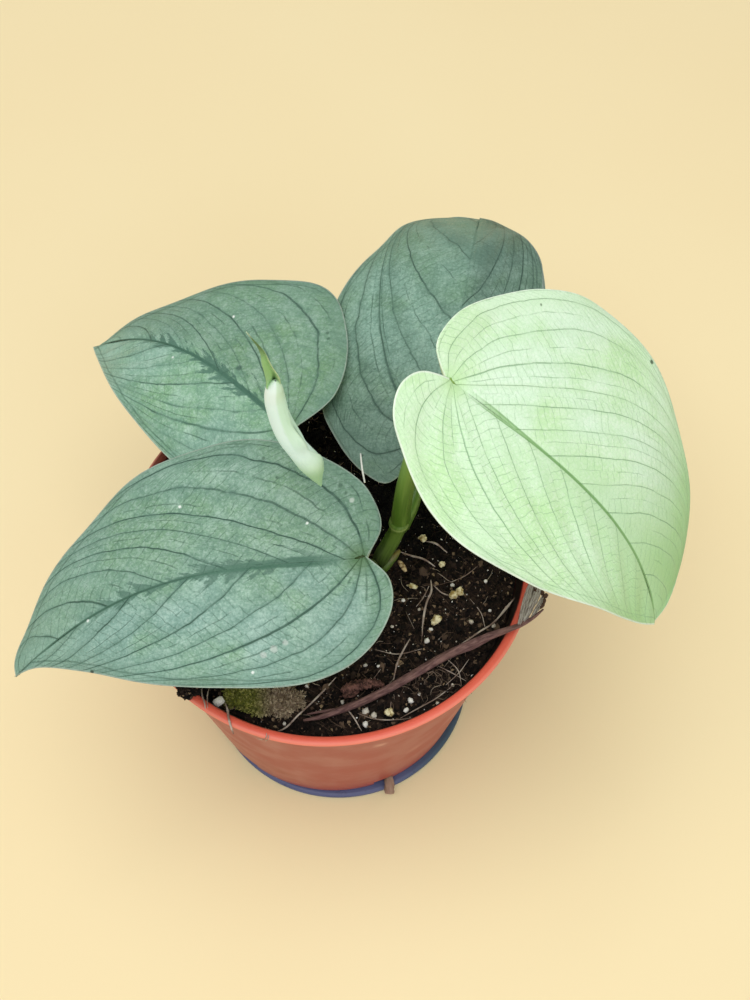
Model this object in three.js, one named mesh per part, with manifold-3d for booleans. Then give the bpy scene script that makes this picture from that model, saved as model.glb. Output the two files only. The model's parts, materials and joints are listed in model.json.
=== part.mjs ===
// A young silver-leaved climber in a small plastic nursery pot, in millimetres, +Z up.
// The origin is the middle of the saucer's flat underside. +X points to the side on which the
// pale leaf hangs, and +Y to the side on which the tallest dark leaf lies.

import * as THREE from "three";
import { mergeVertices } from "three/addons/utils/BufferGeometryUtils.js";
import Module from "manifold-3d";

const wasm = await Module();
wasm.setup();

// Driving dimensions
const GAP = 0.3;
const SAME_POINT = 1e-3;
const SHORTEST_EDGE = 0.02;

const SAUCER_RADIUS = 46.5;
const SAUCER_HEIGHT = 2.2;
const SAUCER_SHIFT = 1.5;

const POT_RIM_RADIUS = 60;
const POT_WALL_TOP_RADIUS = 57.4;
const POT_FOOT_RADIUS = 45;
const POT_WALL = 1.6;
const POT_FLOOR = 2;
const POT_FOOT_Z = SAUCER_HEIGHT + GAP;
const POT_BAND_Z = 94.2;
const POT_TOP_Z = 99;
const POT_SEGMENTS = 44;
const DRAIN_SLOTS = 6;
const DRAIN_SLOT = { length: 9, width: 6.5, height: 5.5, rise: 2.6 };

const SOIL_Z = 92;
const SOIL_EDGE_DROP = 1.3;
const SOIL_RINGS = 8;
const SOIL_SECTORS = 32;

const BLADE_THICKNESS = 0.9;
const RIB_ROWS = 18;
const RIB_STEPS = 11;
const RIB_RELIEF = 0.4;
const BASAL_SHARE = 0.3;
const OUTER_RIB_END = 0.6;
const RIB_ANGLE = 40;
const BASAL_SWING = 105;
const NOTCH = -2;

// Each leaf: where the petiole meets the blade, where the tip is, how far the blade is turned
// about that line, how high it arches and bows, and its left and right margins between notch
// and tip. Margin points are [distance towards the tip, distance to the left] from the petiole.
const LEAVES = {
  leaf_front: {
    base: [11.5, -20.9, 135],
    tip: [-85.1, -41.2, 98],
    turn: -8,
    arch: 9,
    lateArch: 1.25,
    bow: -8.2,
    lateBow: 1,
    color: "#8fb3a0",
    left: [[-4.3, 7.5], [-3, 15.5], [4, 22.8], [14, 26.8], [27, 27.2], [43, 23.2],
      [62, 16.7], [80, 7.6], [95.5, 1]],
    right: [[-5.4, -5.5], [-6, -12], [-3.5, -20], [3.5, -29], [13, -37], [26, -42.5],
      [42, -42.8], [58, -39.3], [74, -30], [82, -25.2], [89.5, -19.6], [97.8, -11.6],
      [103, -7], [105.2, -3.5]],
  },
  leaf_left: {
    base: [-11.8, 23.7, 125.4],
    tip: [-78.3, 75.2, 88.9],
    turn: -10,
    arch: 9,
    lateArch: 1.25,
    bow: -7,
    lateBow: 1,
    color: "#8aae97",
    left: [[-6.1, 7.5], [-4.3, 15.2], [4, 22.5], [16, 25.2], [28.8, 23.5], [49.3, 17.3],
      [66.8, 10.5], [82, 4.2]],
    right: [[-6.7, -9], [-7.6, -15.5], [-3.8, -24.6], [4.4, -35.1], [14.2, -43.2],
      [24.6, -45.1], [36.6, -39.3], [50.5, -30.8], [65.1, -19.5], [76.9, -11.3], [86.9, -2.8]],
  },
  leaf_back: {
    base: [27.1, 17.5, 131],
    tip: [46.1, 111.6, 112.2],
    turn: -10,
    arch: 12,
    lateArch: 1.4,
    bow: -3.8,
    lateBow: 1,
    color: "#74957f",
    left: [[-11.5, 3.6], [-17, 8.4], [-14.1, 15], [-8.3, 20.8], [0.4, 26.9], [7.6, 31.2],
      [16.5, 33.7], [26.5, 35.1], [36.7, 35.6], [45.5, 34.4], [60, 29.5], [70.1, 25.5],
      [82.7, 20.6], [92.7, 14.4], [97, 7]],
    right: [[-7.2, -4.2], [-8.4, -8.6], [-5.7, -11.4], [2.6, -14.9], [12.7, -18.8],
      [24.3, -22.9], [36, -25.7], [46.3, -26.5], [55.4, -25.8], [63.4, -23.9],
      [73.8, -18.5], [84.4, -11.6], [93.5, -5]],
  },
  leaf_right: {
    base: [30.5, 0.5, 185],
    tip: [87.8, -31.4, 117.1],
    turn: 0,
    arch: 8,
    lateArch: 1.3,
    bow: 8,
    lateBow: 1.7,
    color: "#d2f0be",
    left: [[-7.5, 2.7], [-9, 8.5], [-7, 17], [0, 28.5], [9, 39.7], [22, 49.5],
      [38, 52.4], [55, 48.5], [70, 40.2], [84, 30.5], [93, 20], [95.8, 8.5]],
    right: [[-8, -5], [-10.4, -12], [-7, -19], [2, -23.8], [15, -28], [28, -28.7],
      [45, -24.4], [55, -20.7], [68.5, -14.3], [77.8, -9.9], [87.8, -4.6]],
  },
};
const CROSS_FOLD = 0.1;
const CROSS_CURL = 0.004;
const FOLD_SOFTNESS = 3;

// Stems: points along the middle of each, with its radius there
const STEM_BURIED_Z = 70;
const NECK_LENGTH = 6;
const MAIN_STEM = [
  [19.6, -12.6, STEM_BURIED_Z, 2.9],
  [18.9, -11.5, SOIL_Z, 2.9],
  [16.8, -8.9, 101, 2.7],
  [17, -7.2, 107, 2.5],
  [18.8, -5.5, 113, 2.5],
  [19.9, -4.5, 119, 2.6],
  [20, -4.4, 119.8, 3],
  [20.1, -4.3, 120.6, 2.6],
];
const RIGHT_PETIOLE = [
  [20, -4.4, 119.6, 2.4],
  [20.6, -3.8, 134, 2.3],
  [22.1, -2.9, 151, 2],
  [24.8, -1, 166, 1.8],
  [25.5, 1.4, 175, 1.6],
];
const BACK_PETIOLE = [
  [20.6, -4, 118.6, 1.9],
  [23.2, 0.4, 121.6, 1.8],
  [25.6, 8, 123.4, 1.6],
];
const FRONT_PETIOLE = [
  [17, -9, 99, 1.8],
  [16.2, -13, 108, 1.7],
  [15.6, -16.5, 117, 1.5],
  [14.6, -18.6, 126, 1.4],
];
const SIDE_BUD = [
  [16.6, -8.4, 100, 2.1],
  [18.4, -7, 103.4, 2],
  [20.2, -6.4, 106, 1.5],
  [21.3, -6.2, 107.6, 0.7],
];
const LEFT_STEM = [
  [2.6, 11, STEM_BURIED_Z, 2.4],
  [1.6, 11.4, SOIL_Z, 2.4],
  [0.4, 12, 102, 2.2],
];
const LEFT_PETIOLE = [
  [0, 12.6, 100.5, 1.6],
  [-3.4, 16.8, 107, 1.5],
  [-7.6, 21.6, 113.6, 1.4],
];
const NEW_PETIOLE = [
  [0.6, 11.6, 100.5, 1.7],
  [-2.6, 12.2, 114, 1.4],
  [-7.2, 14.4, 127, 1.3],
  [-9.4, 16.2, 137, 1.2],
  [-9.6, 13.6, 145, 1.2],
  [-7.4, 7.4, 149.6, 1.2],
  [-3.4, -1.4, 151.9, 1.1],
];

// The rolled new leaf: its lower end, its shoulder and the end of its thread-like tip
const ROLL_LOW = [-0.9, -4.4, 141.6];
const ROLL_SHOULDER = [-10.3, -5, 190];
const ROLL_TIP = [-14.6, -4.8, 210.5];
const ROLL_RADIUS = 3.5;
const ROLL_TWIST = 70;

// Things that lie on the soil: middle, half sizes along x, y and z, and turn about the upright.
// Longer ones than FINE_LUMP get a finer surface.
const FINE_LUMP = 6;
const LITTER = {
  moss_patch: { at: [-16.6, -45.2, 92.8], half: [10.6, 4.3, 2.8], turn: -8, lumps: 0.12,
    color: "#6d7436" },
  bark_flake: { at: [10.5, -40, 93.2], half: [7.2, 1.5, 1.5], turn: 12, lumps: 0.12,
    color: "#6b4a3a" },
  white_chip: { at: [-29.3, -44.7, 92.8], half: [1.6, 1.2, 1.2], turn: 50, lumps: 0.1,
    color: "#f2f0ea" },
  grit_right: { at: [38.4, -12.8, 93], half: [2.6, 1.8, 1.8], turn: 35, lumps: 0.2,
    color: "#d8c88f" },
  grit_front: { at: [32, -20.2, 93], half: [2, 1.7, 1.7], turn: 10, lumps: 0.2,
    color: "#d8c88f" },
  bark_pellet: { at: [21.6, -4.2, 93.3], half: [2.3, 1, 1], turn: -55, lumps: 0.1,
    color: "#a5865c" },
};
const SOIL_SPILL = { at: [-37.6, -44.4, POT_TOP_Z + 1.8], half: [4.2, 2.6, 1.3], turn: -40,
  lumps: 0.15, color: "#2a211c" };

// The dry stalk that lies across the soil and out over the rim, and the thin roots
const DRY_STICK = [[-5.2, -49.2, 92.8], [7.2, -45.6, 93.6], [20.9, -39.6, 94.7],
  [32, -34, 96.2], [43.2, -28.6, 98.6], [49, -27.2, 100.2], [54.3, -25.1, 101.2]];
const DRY_STICK_RADIUS = 1.4;
const DRY_SHEATH = [[52.4, -26, 101], [58.4, -21, 101.8], [60.9, -16.7, 101.9],
  [62.6, -11.6, 101.4]];
const DRY_SHEATH_WIDTH = 6;
const ROOTS = {
  surface_root_1: [[31.6, -8.4, 92.9], [30.3, -14.8, 93.3], [28.9, -21, 93.2],
    [27.4, -26.4, 92.9]],
  surface_root_2: [[24.3, -26.4, 92.8], [22.1, -30.9, 93.4], [20.6, -34.2, 93.5],
    [20, -36.6, 93.2]],
};
const ROOT_RADIUS = 0.5;
const DRAIN_ROOT = [[16.7, -40.7, 5.5], [18, -43.9, 5.3], [19.2, -46.7, 4.5],
  [20, -48.6, 2.4], [20.2, -49.1, 0.5]];
const DRAIN_ROOT_RADIUS = 1.3;

// Solids and finishes

function finish(color, roughness) {
  return new THREE.MeshStandardMaterial({ color, roughness, metalness: 0 });
}

// Closes a mesh for joining and cutting: shared corners are merged, faces point outwards.
function toSolid(geometry) {
  const bare = geometry.clone();
  bare.deleteAttribute("normal");
  bare.deleteAttribute("uv");
  const merged = mergeVertices(bare, SAME_POINT);
  const vertProperties = new Float32Array(merged.attributes.position.array);
  const triVerts = new Uint32Array(merged.index.array);
  return new wasm.Manifold(new wasm.Mesh({ numProp: 3, vertProperties, triVerts }));
}

function toGeometry(joinedSolid) {
  const solid = joinedSolid.simplify(SHORTEST_EDGE);
  const { vertProperties, triVerts } = solid.getMesh();
  const geometry = new THREE.BufferGeometry();
  geometry.setAttribute("position", new THREE.BufferAttribute(vertProperties, 3));
  geometry.setIndex(new THREE.BufferAttribute(triVerts, 1));
  geometry.computeVertexNormals();
  return geometry;
}

// Builds a closed mesh from triangles given as corner triples, leaving out empty ones.
function fromTriangles(triangles) {
  const corners = [];
  for (const [a, b, c] of triangles) {
    const shortest = Math.min(a.distanceTo(b), b.distanceTo(c), c.distanceTo(a));
    if (shortest >= SAME_POINT) corners.push(...a.toArray(), ...b.toArray(), ...c.toArray());
  }
  const loose = new THREE.BufferGeometry();
  loose.setAttribute("position", new THREE.Float32BufferAttribute(corners, 3));
  const geometry = mergeVertices(loose, SAME_POINT);
  geometry.computeVertexNormals();
  return geometry;
}

// Turns a mesh right side out where its corners were listed the other way round.
function outward(geometry) {
  const solid = toSolid(geometry);
  if (solid.volume() > 0) return geometry;
  const index = geometry.index.array;
  for (let i = 0; i < index.length; i += 3) {
    [index[i + 1], index[i + 2]] = [index[i + 2], index[i + 1]];
  }
  geometry.computeVertexNormals();
  return geometry;
}

// The corners of a round end: a fan from the middle of its ring.
function fanCap(ring) {
  const middle = new THREE.Vector3();
  for (const point of ring) middle.addScaledVector(point, 1 / ring.length);
  return ring.map((point, i) => [middle, point, ring[(i + 1) % ring.length]]);
}

// The corners of a strip's end: its lower points run one way and its upper points back again.
function stripCap(ring) {
  const triangles = [];
  for (let i = 0; i + 1 < ring.length / 2; i += 1) {
    const [a, b] = [ring[i], ring[i + 1]];
    const [c, d] = [ring[ring.length - 2 - i], ring[ring.length - 1 - i]];
    triangles.push([a, b, c], [a, c, d]);
  }
  return triangles;
}

// Skins a stack of closed rings with the same number of points and caps both ends.
function loft(rings, cap = fanCap) {
  const triangles = [];
  const count = rings[0].length;
  for (let row = 0; row + 1 < rings.length; row += 1) {
    for (let i = 0; i < count; i += 1) {
      const next = (i + 1) % count;
      const [a, b] = [rings[row][i], rings[row][next]];
      const [c, d] = [rings[row + 1][i], rings[row + 1][next]];
      triangles.push([a, b, d], [a, d, c]);
    }
  }
  triangles.push(...cap(rings[0]).map(([a, b, c]) => [a, c, b]));
  triangles.push(...cap(rings[rings.length - 1]));
  return outward(fromTriangles(triangles));
}

// A frame carried along a curve without twisting: point, tangent and two cross directions.
function framesAlong(curve, steps, firstNormal) {
  const frames = [];
  let normal = firstNormal.clone();
  for (let j = 0; j <= steps; j += 1) {
    const point = curve.getPoint(j / steps);
    const tangent = curve.getTangent(j / steps);
    normal = normal.clone().addScaledVector(tangent, -normal.dot(tangent)).normalize();
    const side = new THREE.Vector3().crossVectors(tangent, normal);
    frames.push({ point, tangent, normal, side, at: j / steps });
  }
  return frames;
}

function vector([x, y, z]) {
  return new THREE.Vector3(x, y, z);
}

// A round stem through points of [x, y, z, radius], grown all round and at both ends.
function stem(path, sides = 9, grow = 0) {
  const curve = new THREE.CatmullRomCurve3(path.map(vector), false, "centripetal");
  const spans = path.length - 1;
  const frames = framesAlong(curve, spans * 2, new THREE.Vector3(1, 0, 0));
  const rings = frames.map(({ point, tangent, normal, side, at }) => {
    const whole = Math.min(Math.floor(at * spans), spans - 1);
    const radius = THREE.MathUtils.lerp(path[whole][3], path[whole + 1][3], at * spans - whole);
    const beyond = at === 0 ? -grow : at === 1 ? grow : 0;
    const middle = point.clone().addScaledVector(tangent, beyond);
    return roundRing(middle, normal, side, radius + grow, sides);
  });
  return loft(rings);
}

function roundRing(point, normal, side, radius, sides) {
  const ring = [];
  for (let i = 0; i < sides; i += 1) {
    const angle = (2 * Math.PI * i) / sides;
    ring.push(point.clone()
      .addScaledVector(normal, radius * Math.cos(angle))
      .addScaledVector(side, radius * Math.sin(angle)));
  }
  return ring;
}

function withRadius(points, radius) {
  return points.map((point) => [...point, radius]);
}

// A solid of revolution about the upright axis from [radius, height] points.
function turned(profile, segments) {
  const points = profile.map(([radius, height]) => new THREE.Vector2(radius, height));
  const geometry = new THREE.LatheGeometry(points, segments);
  geometry.rotateX(Math.PI / 2);
  return geometry;
}

// Saucer and pot

function potOuterRadius(z) {
  const share = (z - POT_FOOT_Z) / (POT_BAND_Z - POT_FOOT_Z);
  return THREE.MathUtils.lerp(POT_FOOT_RADIUS, POT_WALL_TOP_RADIUS, share);
}

function saucer() {
  const edge = 1;
  const geometry = turned([
    [0, 0],
    [SAUCER_RADIUS - 2, 0],
    [SAUCER_RADIUS, edge],
    [SAUCER_RADIUS - 0.5, SAUCER_HEIGHT],
    [0, SAUCER_HEIGHT],
  ], POT_SEGMENTS);
  geometry.translate(SAUCER_SHIFT, 0, 0);
  return toGeometry(toSolid(geometry));
}

function potShell() {
  const bandRadius = POT_RIM_RADIUS - 0.4;
  const floorZ = POT_FOOT_Z + POT_FLOOR;
  return turned([
    [0, POT_FOOT_Z],
    [POT_FOOT_RADIUS - 1.5, POT_FOOT_Z],
    [potOuterRadius(POT_FOOT_Z + 1.5), POT_FOOT_Z + 1.5],
    [POT_WALL_TOP_RADIUS, POT_BAND_Z],
    [bandRadius, POT_BAND_Z + 0.8],
    [POT_RIM_RADIUS, POT_TOP_Z - 1.4],
    [POT_RIM_RADIUS - 0.5, POT_TOP_Z - 0.3],
    [POT_RIM_RADIUS - 1.4, POT_TOP_Z],
    [POT_RIM_RADIUS - 2.8, POT_TOP_Z - 0.5],
    [POT_WALL_TOP_RADIUS - POT_WALL, POT_BAND_Z + 0.8],
    [potOuterRadius(floorZ) - POT_WALL, floorZ],
    [0, floorZ],
  ], POT_SEGMENTS);
}

// Drain slots run through the corner where wall and floor meet.
function drainSlot(angle) {
  const { length, width, height, rise } = DRAIN_SLOT;
  const geometry = new THREE.BoxGeometry(length, width, height);
  geometry.translate(POT_FOOT_RADIUS - 1, 0, POT_FOOT_Z + rise);
  geometry.rotateZ(angle);
  return toSolid(geometry);
}

const DRAIN_ROOT_ANGLE = Math.atan2(DRAIN_ROOT[1][1], DRAIN_ROOT[1][0]);

function pot() {
  let solid = toSolid(potShell());
  for (let i = 0; i < DRAIN_SLOTS; i += 1) {
    solid = solid.subtract(drainSlot(DRAIN_ROOT_ANGLE + (2 * Math.PI * i) / DRAIN_SLOTS));
  }
  return toGeometry(solid);
}

// Soil and what lies on it

function soilTop(x, y) {
  const crumbs = 0.8 * Math.sin(0.37 * x + 1.1) * Math.cos(0.31 * y - 0.6)
    + 0.5 * Math.sin(0.83 * x - 0.52 * y + 2) + 0.4 * Math.cos(0.94 * y + 0.35 * x);
  return SOIL_Z + crumbs;
}

function soilMound() {
  const bottomZ = POT_FOOT_Z + POT_FLOOR + GAP;
  const edgeZ = SOIL_Z - SOIL_EDGE_DROP;
  const flat = Math.cos(Math.PI / POT_SEGMENTS);
  const edgeRadius = (potOuterRadius(edgeZ) - POT_WALL) * flat - GAP;
  const bottomRadius = (potOuterRadius(bottomZ) - POT_WALL) * flat - GAP;
  const rings = [];
  for (let row = 0; row <= SOIL_RINGS; row += 1) {
    const ring = [];
    for (let i = 0; i < SOIL_SECTORS; i += 1) {
      const angle = (2 * Math.PI * (i + 0.5 * (row % 2))) / SOIL_SECTORS;
      const radius = edgeRadius * (1 - row / (SOIL_RINGS + 1));
      const [x, y] = [radius * Math.cos(angle), radius * Math.sin(angle)];
      ring.push(new THREE.Vector3(x, y, row === 0 ? edgeZ : soilTop(x, y)));
    }
    rings.push(ring);
  }
  const foot = rings[0].map((point) => {
    const scale = bottomRadius / edgeRadius;
    return new THREE.Vector3(point.x * scale, point.y * scale, bottomZ);
  });
  return loft([foot, ...rings]);
}

// An uneven rounded lump: an ellipsoid whose surface is pushed in and out.
function lump({ at, half, turn, lumps }, grow = 0) {
  const ball = new THREE.IcosahedronGeometry(1, half[0] > FINE_LUMP ? 2 : 1);
  ball.deleteAttribute("normal");
  ball.deleteAttribute("uv");
  const geometry = mergeVertices(ball, SAME_POINT);
  const position = geometry.attributes.position;
  for (let i = 0; i < position.count; i += 1) {
    const point = new THREE.Vector3().fromBufferAttribute(position, i);
    const wave = Math.sin(4.1 * point.x + half[0]) * Math.cos(3.7 * point.y - half[1])
      + 0.7 * Math.sin(5.3 * point.z + 2.9 * point.x);
    const swell = 1 + lumps * wave;
    position.setXYZ(i,
      point.x * (half[0] * swell + grow),
      point.y * (half[1] * swell + grow),
      point.z * (half[2] * swell + grow));
  }
  geometry.rotateZ(THREE.MathUtils.degToRad(turn));
  geometry.translate(...at);
  return geometry;
}

function soil() {
  let solid = toSolid(soilMound());
  const holes = [
    stem(MAIN_STEM, 9, GAP),
    stem(LEFT_STEM, 9, GAP),
    stem(withRadius(DRY_STICK, DRY_STICK_RADIUS), 7, GAP),
    ...Object.values(ROOTS).map((points) => stem(withRadius(points, ROOT_RADIUS), 5, GAP)),
    ...Object.values(LITTER).map((item) => lump(item, GAP)),
  ];
  for (const hole of holes) solid = solid.subtract(toSolid(hole));
  return toGeometry(solid);
}

// Stems with the petioles that grow from them

function joined(parts) {
  let solid = toSolid(parts[0]);
  for (const part of parts.slice(1)) solid = solid.add(toSolid(part));
  return toGeometry(solid);
}

// The end of a petiole rises square to the blade and stops just under it.
function upToBlade(path, leafName, radius) {
  const { base, up } = bladeFrame(LEAVES[leafName]);
  const reach = BLADE_THICKNESS + GAP;
  const neck = base.clone().addScaledVector(up, -NECK_LENGTH);
  const end = base.clone().addScaledVector(up, -reach);
  return [...path, [...neck.toArray(), radius], [...end.toArray(), radius]];
}

function mainStem() {
  return joined([
    stem(MAIN_STEM),
    stem(upToBlade(RIGHT_PETIOLE, "leaf_right", 1.5)),
    stem(upToBlade(BACK_PETIOLE, "leaf_back", 1.4)),
    stem(upToBlade(FRONT_PETIOLE, "leaf_front", 1.4)),
    stem(SIDE_BUD, 7),
  ]);
}

function leftStem() {
  return joined([
    stem(LEFT_STEM),
    stem(upToBlade(LEFT_PETIOLE, "leaf_left", 1.3)),
    stem(NEW_PETIOLE, 8),
  ]);
}

// Leaf blades

// Directions of a blade: along to the tip, left across it, and up out of its face.
function bladeFrame(leaf) {
  const base = vector(leaf.base);
  const along = vector(leaf.tip).sub(base);
  const length = along.length();
  along.normalize();
  const level = new THREE.Vector3(0, 0, 1).cross(along).normalize();
  const left = level.applyAxisAngle(along, THREE.MathUtils.degToRad(leaf.turn));
  const up = new THREE.Vector3().crossVectors(along, left);
  return { base, along, left, up, length };
}

// The midrib bows sideways between the petiole and the tip.
function midribOffset(leaf, length, u) {
  const share = THREE.MathUtils.clamp(u / length, 0, 1);
  return leaf.bow * Math.sin(Math.PI * share ** leaf.lateBow);
}

// A blade arches along its midrib; each half rises from the midrib and rolls down again.
function bladePoint(leaf, frame, u, v, relief) {
  const share = THREE.MathUtils.clamp(u / frame.length, 0, 1);
  const across = v - midribOffset(leaf, frame.length, u);
  const height = leaf.arch * Math.sin(Math.PI * share ** leaf.lateArch)
    + CROSS_FOLD * (Math.hypot(across, FOLD_SOFTNESS) - FOLD_SOFTNESS)
    - CROSS_CURL * across * across + relief;
  return frame.base.clone()
    .addScaledVector(frame.along, u)
    .addScaledVector(frame.left, v)
    .addScaledVector(frame.up, height);
}

// Side ribs of one half blade. Each leaves the midrib or the petiole's end, swings out and bends
// forward into the margin; the outermost is the margin itself, from the notch round the lobe.
function ribGrid(leaf, length, margin, sideSign) {
  const outline = [[NOTCH, 0], ...margin, [length, 0]];
  const edge = new THREE.SplineCurve(outline.map(([u, v]) => new THREE.Vector2(u, v)));
  edge.arcLengthDivisions = 600;
  const ribCurve = (k) => {
    const back = Math.max(0, 1 - k / BASAL_SHARE);
    const forward = Math.max(0, (k - BASAL_SHARE) / (1 - BASAL_SHARE));
    const startU = back > 0 ? NOTCH * back : length * forward ** 1.1;
    const start = new THREE.Vector2(startU, midribOffset(leaf, length, startU));
    const endShare = OUTER_RIB_END + (1 - OUTER_RIB_END) * k ** 0.9;
    const end = edge.getPointAt(Math.min(endShare, 1));
    const tangent = edge.getTangentAt(Math.min(endShare, 1));
    const inward = new THREE.Vector2(sideSign * tangent.y, -sideSign * tangent.x);
    const angle = THREE.MathUtils.degToRad(RIB_ANGLE + BASAL_SWING * back ** 1.3);
    const reach = start.distanceTo(end);
    const leave = new THREE.Vector2(Math.cos(angle), sideSign * Math.sin(angle));
    const bend1 = start.clone().addScaledVector(leave, reach * (0.33 + 0.12 * back));
    const bend2 = end.clone().addScaledVector(tangent, -reach * (0.36 + 0.1 * back))
      .addScaledVector(inward, reach * 0.1);
    return { curve: new THREE.CubicBezierCurve(start, bend1, bend2, end), back };
  };
  const outermost = ribCurve(0).curve;
  const grid = [];
  for (let row = 0; row <= RIB_ROWS; row += 1) {
    const { curve, back } = ribCurve(row / RIB_ROWS);
    const points = [];
    for (let step = 0; step <= RIB_STEPS; step += 1) {
      const t = step / RIB_STEPS;
      const shift = edge.getPointAt(OUTER_RIB_END * t).sub(outermost.getPoint(t));
      points.push(curve.getPoint(t).addScaledVector(shift, back * back));
    }
    grid.push(points);
  }
  return grid;
}

// The blade swells a little between neighbouring ribs, and lies lower along them.
function ribRelief(row, step) {
  const between = row % 2 === 1 && row > 0 && row < RIB_ROWS;
  return between ? RIB_RELIEF * Math.sin((Math.PI * step) / RIB_STEPS) : 0;
}

function leafBlade(leaf) {
  const frame = bladeFrame(leaf);
  const drop = frame.up.clone().multiplyScalar(-BLADE_THICKNESS);
  const triangles = [];
  const face = (a, b, c) => {
    triangles.push([a, b, c]);
    triangles.push([a, c, b].map((point) => point.clone().add(drop)));
  };
  const wall = (a, b) => {
    const [c, d] = [a.clone().add(drop), b.clone().add(drop)];
    triangles.push([b, a, c], [b, c, d]);
  };
  for (const [margin, sideSign] of [[leaf.left, 1], [leaf.right, -1]]) {
    const grid = ribGrid(leaf, frame.length, margin, sideSign);
    const spots = grid.map((points, row) => points.map(
      (point, step) => bladePoint(leaf, frame, point.x, point.y, ribRelief(row, step))));
    for (let row = 0; row < RIB_ROWS; row += 1) {
      for (let step = 0; step < RIB_STEPS; step += 1) {
        const [a, b] = [spots[row][step], spots[row + 1][step]];
        const [c, d] = [spots[row][step + 1], spots[row + 1][step + 1]];
        if (sideSign > 0) {
          face(a, b, d);
          face(a, d, c);
        } else {
          face(a, d, b);
          face(a, c, d);
        }
      }
    }
    const lobe = spots[0];
    const flank = spots.map((points) => points[RIB_STEPS]);
    for (const border of [lobe, flank]) {
      for (let i = 0; i + 1 < border.length; i += 1) {
        if (sideSign > 0) wall(border[i + 1], border[i]);
        else wall(border[i], border[i + 1]);
      }
    }
  }
  return fromTriangles(triangles);
}

// The new leaf: a blade still rolled round itself, with its folded tip drawn out to a thread

function rolledLeaf() {
  const axis = new THREE.CatmullRomCurve3(
    [ROLL_LOW, [-5, -5, 163], ROLL_SHOULDER].map(vector), false, "centripetal");
  const swell = new THREE.SplineCurve([
    [0, 0.14], [0.08, 0.6], [0.22, 0.95], [0.5, 1], [0.78, 0.92], [0.93, 0.72], [1, 0.3],
  ].map(([at, size]) => new THREE.Vector2(at, size)));
  const sides = 14;
  const steps = 12;
  const rings = framesAlong(axis, steps, new THREE.Vector3(0, -1, 0)).map((frame) => {
    const radius = ROLL_RADIUS * swell.getPoint(frame.at).y;
    const twist = THREE.MathUtils.degToRad(ROLL_TWIST * frame.at - 60);
    const ring = [];
    for (let i = 0; i < sides; i += 1) {
      const angle = twist + (2 * Math.PI * i) / sides;
      const spiral = radius * (0.86 + (0.26 * i) / (sides - 1));
      ring.push(frame.point.clone()
        .addScaledVector(frame.normal, spiral * Math.cos(angle))
        .addScaledVector(frame.side, spiral * Math.sin(angle)));
    }
    return ring;
  });
  return loft(rings);
}

function foldedTip() {
  const root = vector(ROLL_SHOULDER).lerp(vector(ROLL_LOW), 0.12).toArray();
  const path = new THREE.CatmullRomCurve3(
    [root, ROLL_SHOULDER, [-12.6, -5.4, 199], ROLL_TIP].map(vector), false, "centripetal");
  const rings = framesAlong(path, 9, new THREE.Vector3(0, -1, 0)).map((frame) => {
    const half = THREE.MathUtils.lerp(2, 0.25, frame.at ** 0.7);
    const rise = half * 0.9;
    const section = [
      [-half - 0.3, rise], [0, -0.4], [half + 0.3, rise],
      [half - 0.2, rise + 0.5], [0, 0.45], [-half + 0.2, rise + 0.5],
    ];
    return section.map(([across, out]) => frame.point.clone()
      .addScaledVector(frame.side, across)
      .addScaledVector(frame.normal, out - rise * 0.5));
  });
  return loft(rings, stripCap);
}

// The dried sheath at the stick's end: a thin cupped strip that hangs out over the rim
function drySheath() {
  const path = new THREE.CatmullRomCurve3(DRY_SHEATH.map(vector), false, "centripetal");
  const outward = vector(DRY_SHEATH[1]).setZ(0).normalize();
  const rings = framesAlong(path, 8, outward).map((frame) => {
    const half = (DRY_SHEATH_WIDTH / 2) * Math.sin(Math.PI * (0.15 + 0.75 * frame.at));
    const section = [];
    for (const [thickness, order] of [[0, [-1, -0.5, 0, 0.5, 1]], [0.8, [1, 0.5, 0, -0.5, -1]]]) {
      for (const across of order) {
        section.push(frame.point.clone()
          .addScaledVector(frame.side, across * half)
          .addScaledVector(frame.normal, thickness - 1.2 * across * across));
      }
    }
    return section;
  });
  return loft(rings, stripCap);
}

// The finished object

const plant = new THREE.Group();

function place(name, geometry, material) {
  const mesh = new THREE.Mesh(geometry, material);
  mesh.name = name;
  plant.add(mesh);
}

place("saucer", saucer(), finish("#46508a", 0.5));
place("pot", pot(), finish("#b9604f", 0.45));
place("soil", soil(), finish("#2a211c", 1));
place("main_stem", mainStem(), finish("#5d8030", 0.5));
place("left_stem", leftStem(), finish("#6d8c4a", 0.5));
for (const [name, leaf] of Object.entries(LEAVES)) {
  place(name, leafBlade(leaf), finish(leaf.color, 0.55));
}
place("new_leaf", joined([rolledLeaf(), foldedTip()]), finish("#e2f6dc", 0.45));
for (const [name, item] of Object.entries(LITTER)) {
  place(name, lump(item), finish(item.color, 0.95));
}
place("soil_spill", lump(SOIL_SPILL), finish(SOIL_SPILL.color, 1));
place("dry_stick", joined([stem(withRadius(DRY_STICK, DRY_STICK_RADIUS), 7), drySheath()]),
  finish("#6e5a52", 0.9));
for (const [name, points] of Object.entries(ROOTS)) {
  place(name, stem(withRadius(points, ROOT_RADIUS), 5), finish("#c9b79b", 0.9));
}
place("drain_root", stem(withRadius(DRAIN_ROOT, DRAIN_ROOT_RADIUS), 7), finish("#967864", 0.9));

export default plant;
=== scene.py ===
# %% [markdown]
# # A silver-leaved climber in a nursery pot
# This lesson dresses a small measured model of a young scindapsus with broad satin leaves. The
# measured solids come first and fix every size. Then each piece is rebuilt in finer detail in
# the same place: pot, saucer, soil, stems, blades and the rolled new leaf.

import json
import math

from types import SimpleNamespace

import bmesh
import bpy
import numpy as np
from mathutils import Matrix, Vector, noise

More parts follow.
